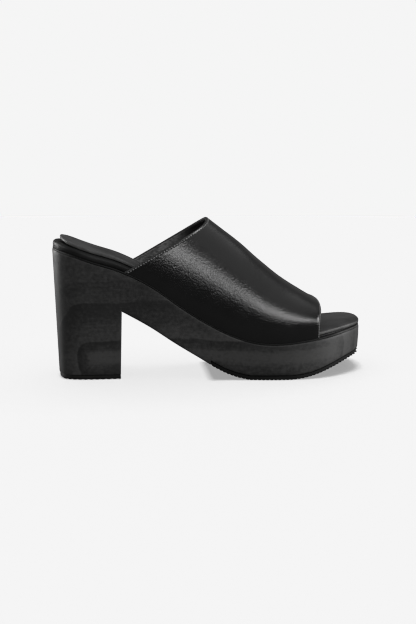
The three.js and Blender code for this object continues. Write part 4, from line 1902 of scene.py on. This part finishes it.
    def wall(self) -> tuple[Array, Array, Array]:
        """The wall in bands, each from the throat to the front and back inside.

        Returns:
            The points, their gap to the nearest rim in millimetres, and how far inside each lies: 0 on the
            outer face, 0.4 on the rims and 1 on the inner face.
        """
        half = self.last.leather_thickness / 2.0
        leans = np.linspace(math.pi + self.tuck, -self.tuck, self.round_steps + 1)
        start, end = self.throat(leans)[:, None], self.front(leans)[:, None]
        k_start, k_end = self.stretch(self.throat, leans)[:, None], self.stretch(self.front, leans)[:, None]
        near = np.linspace(half, self.rim_width, self.rim_steps + 1)
        first, final = start + near / k_start, end - near[::-1] / k_end
        share = np.linspace(0.0, 1.0, self.long_steps + 1)[1:-1]
        between = first[:, -1:] * (1.0 - share) + final[:, :1] * share
        run = np.concatenate([first, between, final], axis=1)
        lean = np.broadcast_to(leans[:, None], run.shape)
        gap = np.minimum((run - start) * k_start, (end - run) * k_end)
        out = self.normal(run, lean)
        moved = self.relief(run, lean, gap)[..., None] * out
        outer = self.point(run, lean)
        middle = outer - half * out
        floor = self.last.seat_height(middle[..., 0]) + self.last.footbed_low
        inner = middle - half * out + self.inner_relief * moved
        inner[..., 2] = np.maximum(inner[..., 2], floor)
        front_cap = self.cap(middle[:, -1], middle[:, -2], out[:, -1], floor[:, -1])
        throat_cap = self.cap(middle[:, 0], middle[:, 1], out[:, 0], floor[:, 0])[:, ::-1]
        points = np.concatenate([outer + moved, front_cap, inner[:, ::-1], throat_cap], axis=1)
        rim = np.zeros(front_cap.shape[:2])
        gaps = np.concatenate([gap, rim, gap[:, ::-1], rim], axis=1)
        inside = np.concatenate([0.0 * gap, rim + 0.4, 0.0 * gap + 1.0, rim + 0.4], axis=1)
        turn = -(run.shape[1] + front_cap.shape[1] // 2 + 1)
        return tuple(np.roll(values, turn, axis=1) for values in (points, gaps, inside))

    def build(
        self, leather: bpy.types.Material, lining: bpy.types.Material, cut: bpy.types.Material
    ) -> bpy.types.Object:
        """Makes the vamp from its outer leather, its lining and the leather's cut edge.

        Args:
            leather: the outer finish.
            lining: the inner finish.
            cut: the finish of the rims.

        Returns:
            The piece.
        """
        points, gaps, inside = self.wall()
        faces = ring_faces(points.shape[0], points.shape[1], True)
        flags = inside.reshape(-1)
        depth = np.array([np.mean(flags[list(face)]) for face in faces])
        kinds = np.where(depth > 0.7, 1, np.where(depth > 0.25, 2, 0))
        numbers = {"rim_mm": gaps.reshape(-1)}
        piece = make_object("leather_vamp", points.reshape(-1, 3), faces, self.last, numbers, kinds)
        dress(piece, [leather, lining, cut])
        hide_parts("vamp")
        return piece

    def stitch_row(
        self, name: str, rim: Callable[[Array], Array], toward: float, sizes: dict
    ) -> bpy.types.Object:
        """Makes a row of stitches beside a rim.

        Args:
            name: the piece's name.
            rim: where the rim lies at each lean.
            toward: 1 where the leather lies ahead of the rim, -1 where behind.
            sizes: the row's gap to the rim, pitch, length and thickness, and its material.

        Returns:
            The stitches.
        """
        leans = np.linspace(-self.tuck * 0.9, math.pi + self.tuck * 0.9, 500)
        gap = sizes["Gap"]
        run = rim(leans) + toward * gap / self.stretch(rim, leans)
        lift = self.relief(run, leans, np.full(run.shape, gap)) + 0.3 * sizes["Thickness"] / MM
        path = self.point(run, leans) + self.normal(run, leans) * lift[:, None]
        piece = point_cloud(name, path, self.last, chain=True)
        StitchTree().apply(piece, {key: value for key, value in sizes.items() if key != "Gap"})
        dress(piece, [sizes["Material"]])
        return piece

    def stitches(self, thread: bpy.types.Material) -> list[bpy.types.Object]:
        """Makes the rows along the throat and along the front edge.

        Args:
            thread: the thread.

        Returns:
            The rows.
        """
        throat = {
            "Gap": self.stitch_from_rim,
            "Pitch": self.stitch_pitch * MM,
            "Length": self.stitch_length * MM,
            "Thickness": self.stitch_thickness * MM,
            "Material": thread,
        }
        front = {
            **throat,
            "Gap": self.front_stitch_gap,
            "Pitch": self.front_stitch_pitch * MM,
            "Length": self.front_stitch_length * MM,
        }
        return [
            self.stitch_row("throat_stitches", self.throat, 1.0, throat),
            self.stitch_row("front_stitches", self.front, -1.0, front),
        ]


class Use(Enum):
    """What a light is for: the shoe, the floor with no shadow, or the floor with the rubber's shadow."""

    SHOE = 0
    FLOOR = 1
    CONTACT = 2


class Softbox(NamedTuple):
    """A rectangular light: where it hangs, what it faces, its size in metres and its power in watts."""

    name: str
    place: tuple[float, float, float]
    faces: tuple[float, float, float]
    size: tuple[float, float]
    power: float
    use: Use = Use.SHOE


@dataclass
class Studio:
    """The floor, the lights, the background and the camera."""

    camera_place: tuple[float, float, float] = (-0.0715, -0.5879, 0.1438)
    camera_target: tuple[float, float, float] = (-0.00244, 0.0, 0.0458)
    lens: float = 44.27
    sensor: float = 36.0
    floor_radius: float = 3.0
    floor_tone: float = 0.003
    background: float = 0.913
    ambient: float = 0.12
    boxes: tuple[Softbox, ...] = (
        Softbox("ceiling", (-0.1, -0.1, 1.4), (-0.1, -0.101, 0.0), (3.1, 3.1), 17.5),
        Softbox("front_box", (0.64, -1.4, 0.56), (0.0, 0.0, 0.05), (1.25, 0.24), 6.8),
        Softbox("front_halo", (0.64, -1.42, 0.6), (0.0, 0.0, 0.05), (1.4, 0.46), 5.0),
        Softbox("toe_box", (1.1, -0.28, 0.24), (0.05, 0.0, 0.03), (0.5, 0.45), 14.0),
        Softbox("heel_box", (-1.15, -0.3, 0.6), (-0.05, 0.0, 0.08), (0.5, 0.5), 7.0),
        Softbox("rim_box", (-1.0, 0.65, 0.3), (-0.05, 0.0, 0.05), (0.5, 0.5), 9.0),
        Softbox("floor_box", (0.0, 0.0, 1.0), (0.0, 0.001, 0.0), (1.6, 1.6), 66.0, Use.FLOOR),
        Softbox("contact_box", (0.02, 0.12, 1.0), (0.0, 0.0, 0.0), (0.5, 0.5), 38.0, Use.CONTACT),
    )

    def aim(self, thing: bpy.types.Object, place: Sequence[float], target: Sequence[float]) -> None:
        """Puts a light or the camera somewhere and turns it to a target.

        Args:
            thing: the light or the camera.
            place: where it goes.
            target: what it faces.
        """
        thing.location = place
        way = Vector(target) - Vector(place)
        thing.rotation_euler = way.to_track_quat("-Z", "Y").to_euler()

    def camera(self) -> None:
        """Makes the camera at the photograph's angle."""
        data = bpy.data.cameras.new("camera")
        data.sensor_fit = "VERTICAL"
        data.sensor_height = self.sensor
        data.lens = self.lens
        camera = bpy.data.objects.new("camera", data)
        bpy.context.scene.collection.objects.link(camera)
        self.aim(camera, self.camera_place, self.camera_target)
        bpy.context.scene.camera = camera

    def lights(self, rubber: Sequence[bpy.types.Object]) -> None:
        """Hangs the softboxes. The rubber pieces alone shade the floor.

        Args:
            rubber: the pieces that stand on the floor.
        """
        for box in self.boxes:
            data = bpy.data.lights.new(box.name, "AREA")
            data.shape = "RECTANGLE"
            data.size, data.size_y = box.size
            data.energy = box.power
            light = bpy.data.objects.new(box.name, data)
            bpy.context.scene.collection.objects.link(light)
            light.visible_camera = False
            self.aim(light, box.place, box.faces)
            lit = bpy.data.collections.new(box.name)
            lit.objects.link(bpy.data.objects["floor"])
            light.light_linking.receiver_collection = lit
            if box.use is Use.SHOE:
                lit.collection_objects[0].light_linking.link_state = "EXCLUDE"
            elif box.use is Use.FLOOR:
                data.use_shadow = False
            else:
                shade = bpy.data.collections.new("shading")
                for piece in rubber:
                    shade.objects.link(piece)
                light.light_linking.blocker_collection = shade

    def world(self) -> None:
        """A pale background for the camera, over a dim room that the shoe reflects."""
        world = bpy.data.worlds.new("studio")
        world.use_nodes = True
        bpy.context.scene.world = world
        room = Nodes(world.node_tree)
        tones = (self.ambient, self.background)
        dim, pale = (room.out("ShaderNodeBackground", {"Color": grey(tone)}) for tone in tones)
        ray = room.node("ShaderNodeLightPath").outputs["Is Camera Ray"]
        mixed = room.out("ShaderNodeMixShader", {0: ray, 1: dim, 2: pale})
        room.node("ShaderNodeOutputWorld", inputs={0: mixed})

    def floor(self) -> None:
        """A plain floor as pale as the background, which takes the shoe's soft shadow."""
        bpy.ops.mesh.primitive_circle_add(vertices=96, radius=self.floor_radius, fill_type="NGON")
        floor = bpy.context.object
        floor.name = "floor"
        floor.is_shadow_catcher = True
        t = Tree("floor_paper")
        floor.data.materials.append(t.finish({"Base Color": grey(self.floor_tone), "Roughness": 0.9}))

    def build(self, rubber: Sequence[bpy.types.Object]) -> None:
        """Sets up the whole studio round the shoe, whose rubber pieces stand on the floor.

        Args:
            rubber: the pieces that stand on the floor.
        """
        bpy.context.scene.view_settings.view_transform = "Standard"
        self.camera()
        self.floor()
        self.lights(rubber)
        self.world()


def main() -> None:
    """Builds each part of the shoe, and the studio round it."""
    logging.basicConfig(level=logging.INFO)
    last = Last()
    thread = Thread().material()
    rubber = BlackRubber().material()
    WoodenSole(last).build(StainedWood().material())
    standing = [HeelTopPiece(last).build(rubber), *Outsole(last).build(rubber)]
    FootLayers(last).build({
        "rand": EdgeLeather().material(),
        "footbed": SmoothLeather("wrap_leather", grey(0.0015), grey(0.003), 0.5, 0.04, 0.2).material(),
        "insole": SmoothLeather("sock_leather", grey(0.018), grey(0.062), 0.5, 0.12, 0.3).material(),
        "thread": Thread("insole_thread", grey(0.03), grey(0.07)).material(),
    })
    vamp = Vamp(last)
    cut = SmoothLeather("cut_edge", grey(0.004), grey(0.012), 0.6, 0.03, 0.2).material()
    vamp.build(PebbledLeather().material(), LiningLeather().material(), cut)
    vamp.stitches(thread)
    Studio().build(standing)


if __name__ == "__main__":
    main()
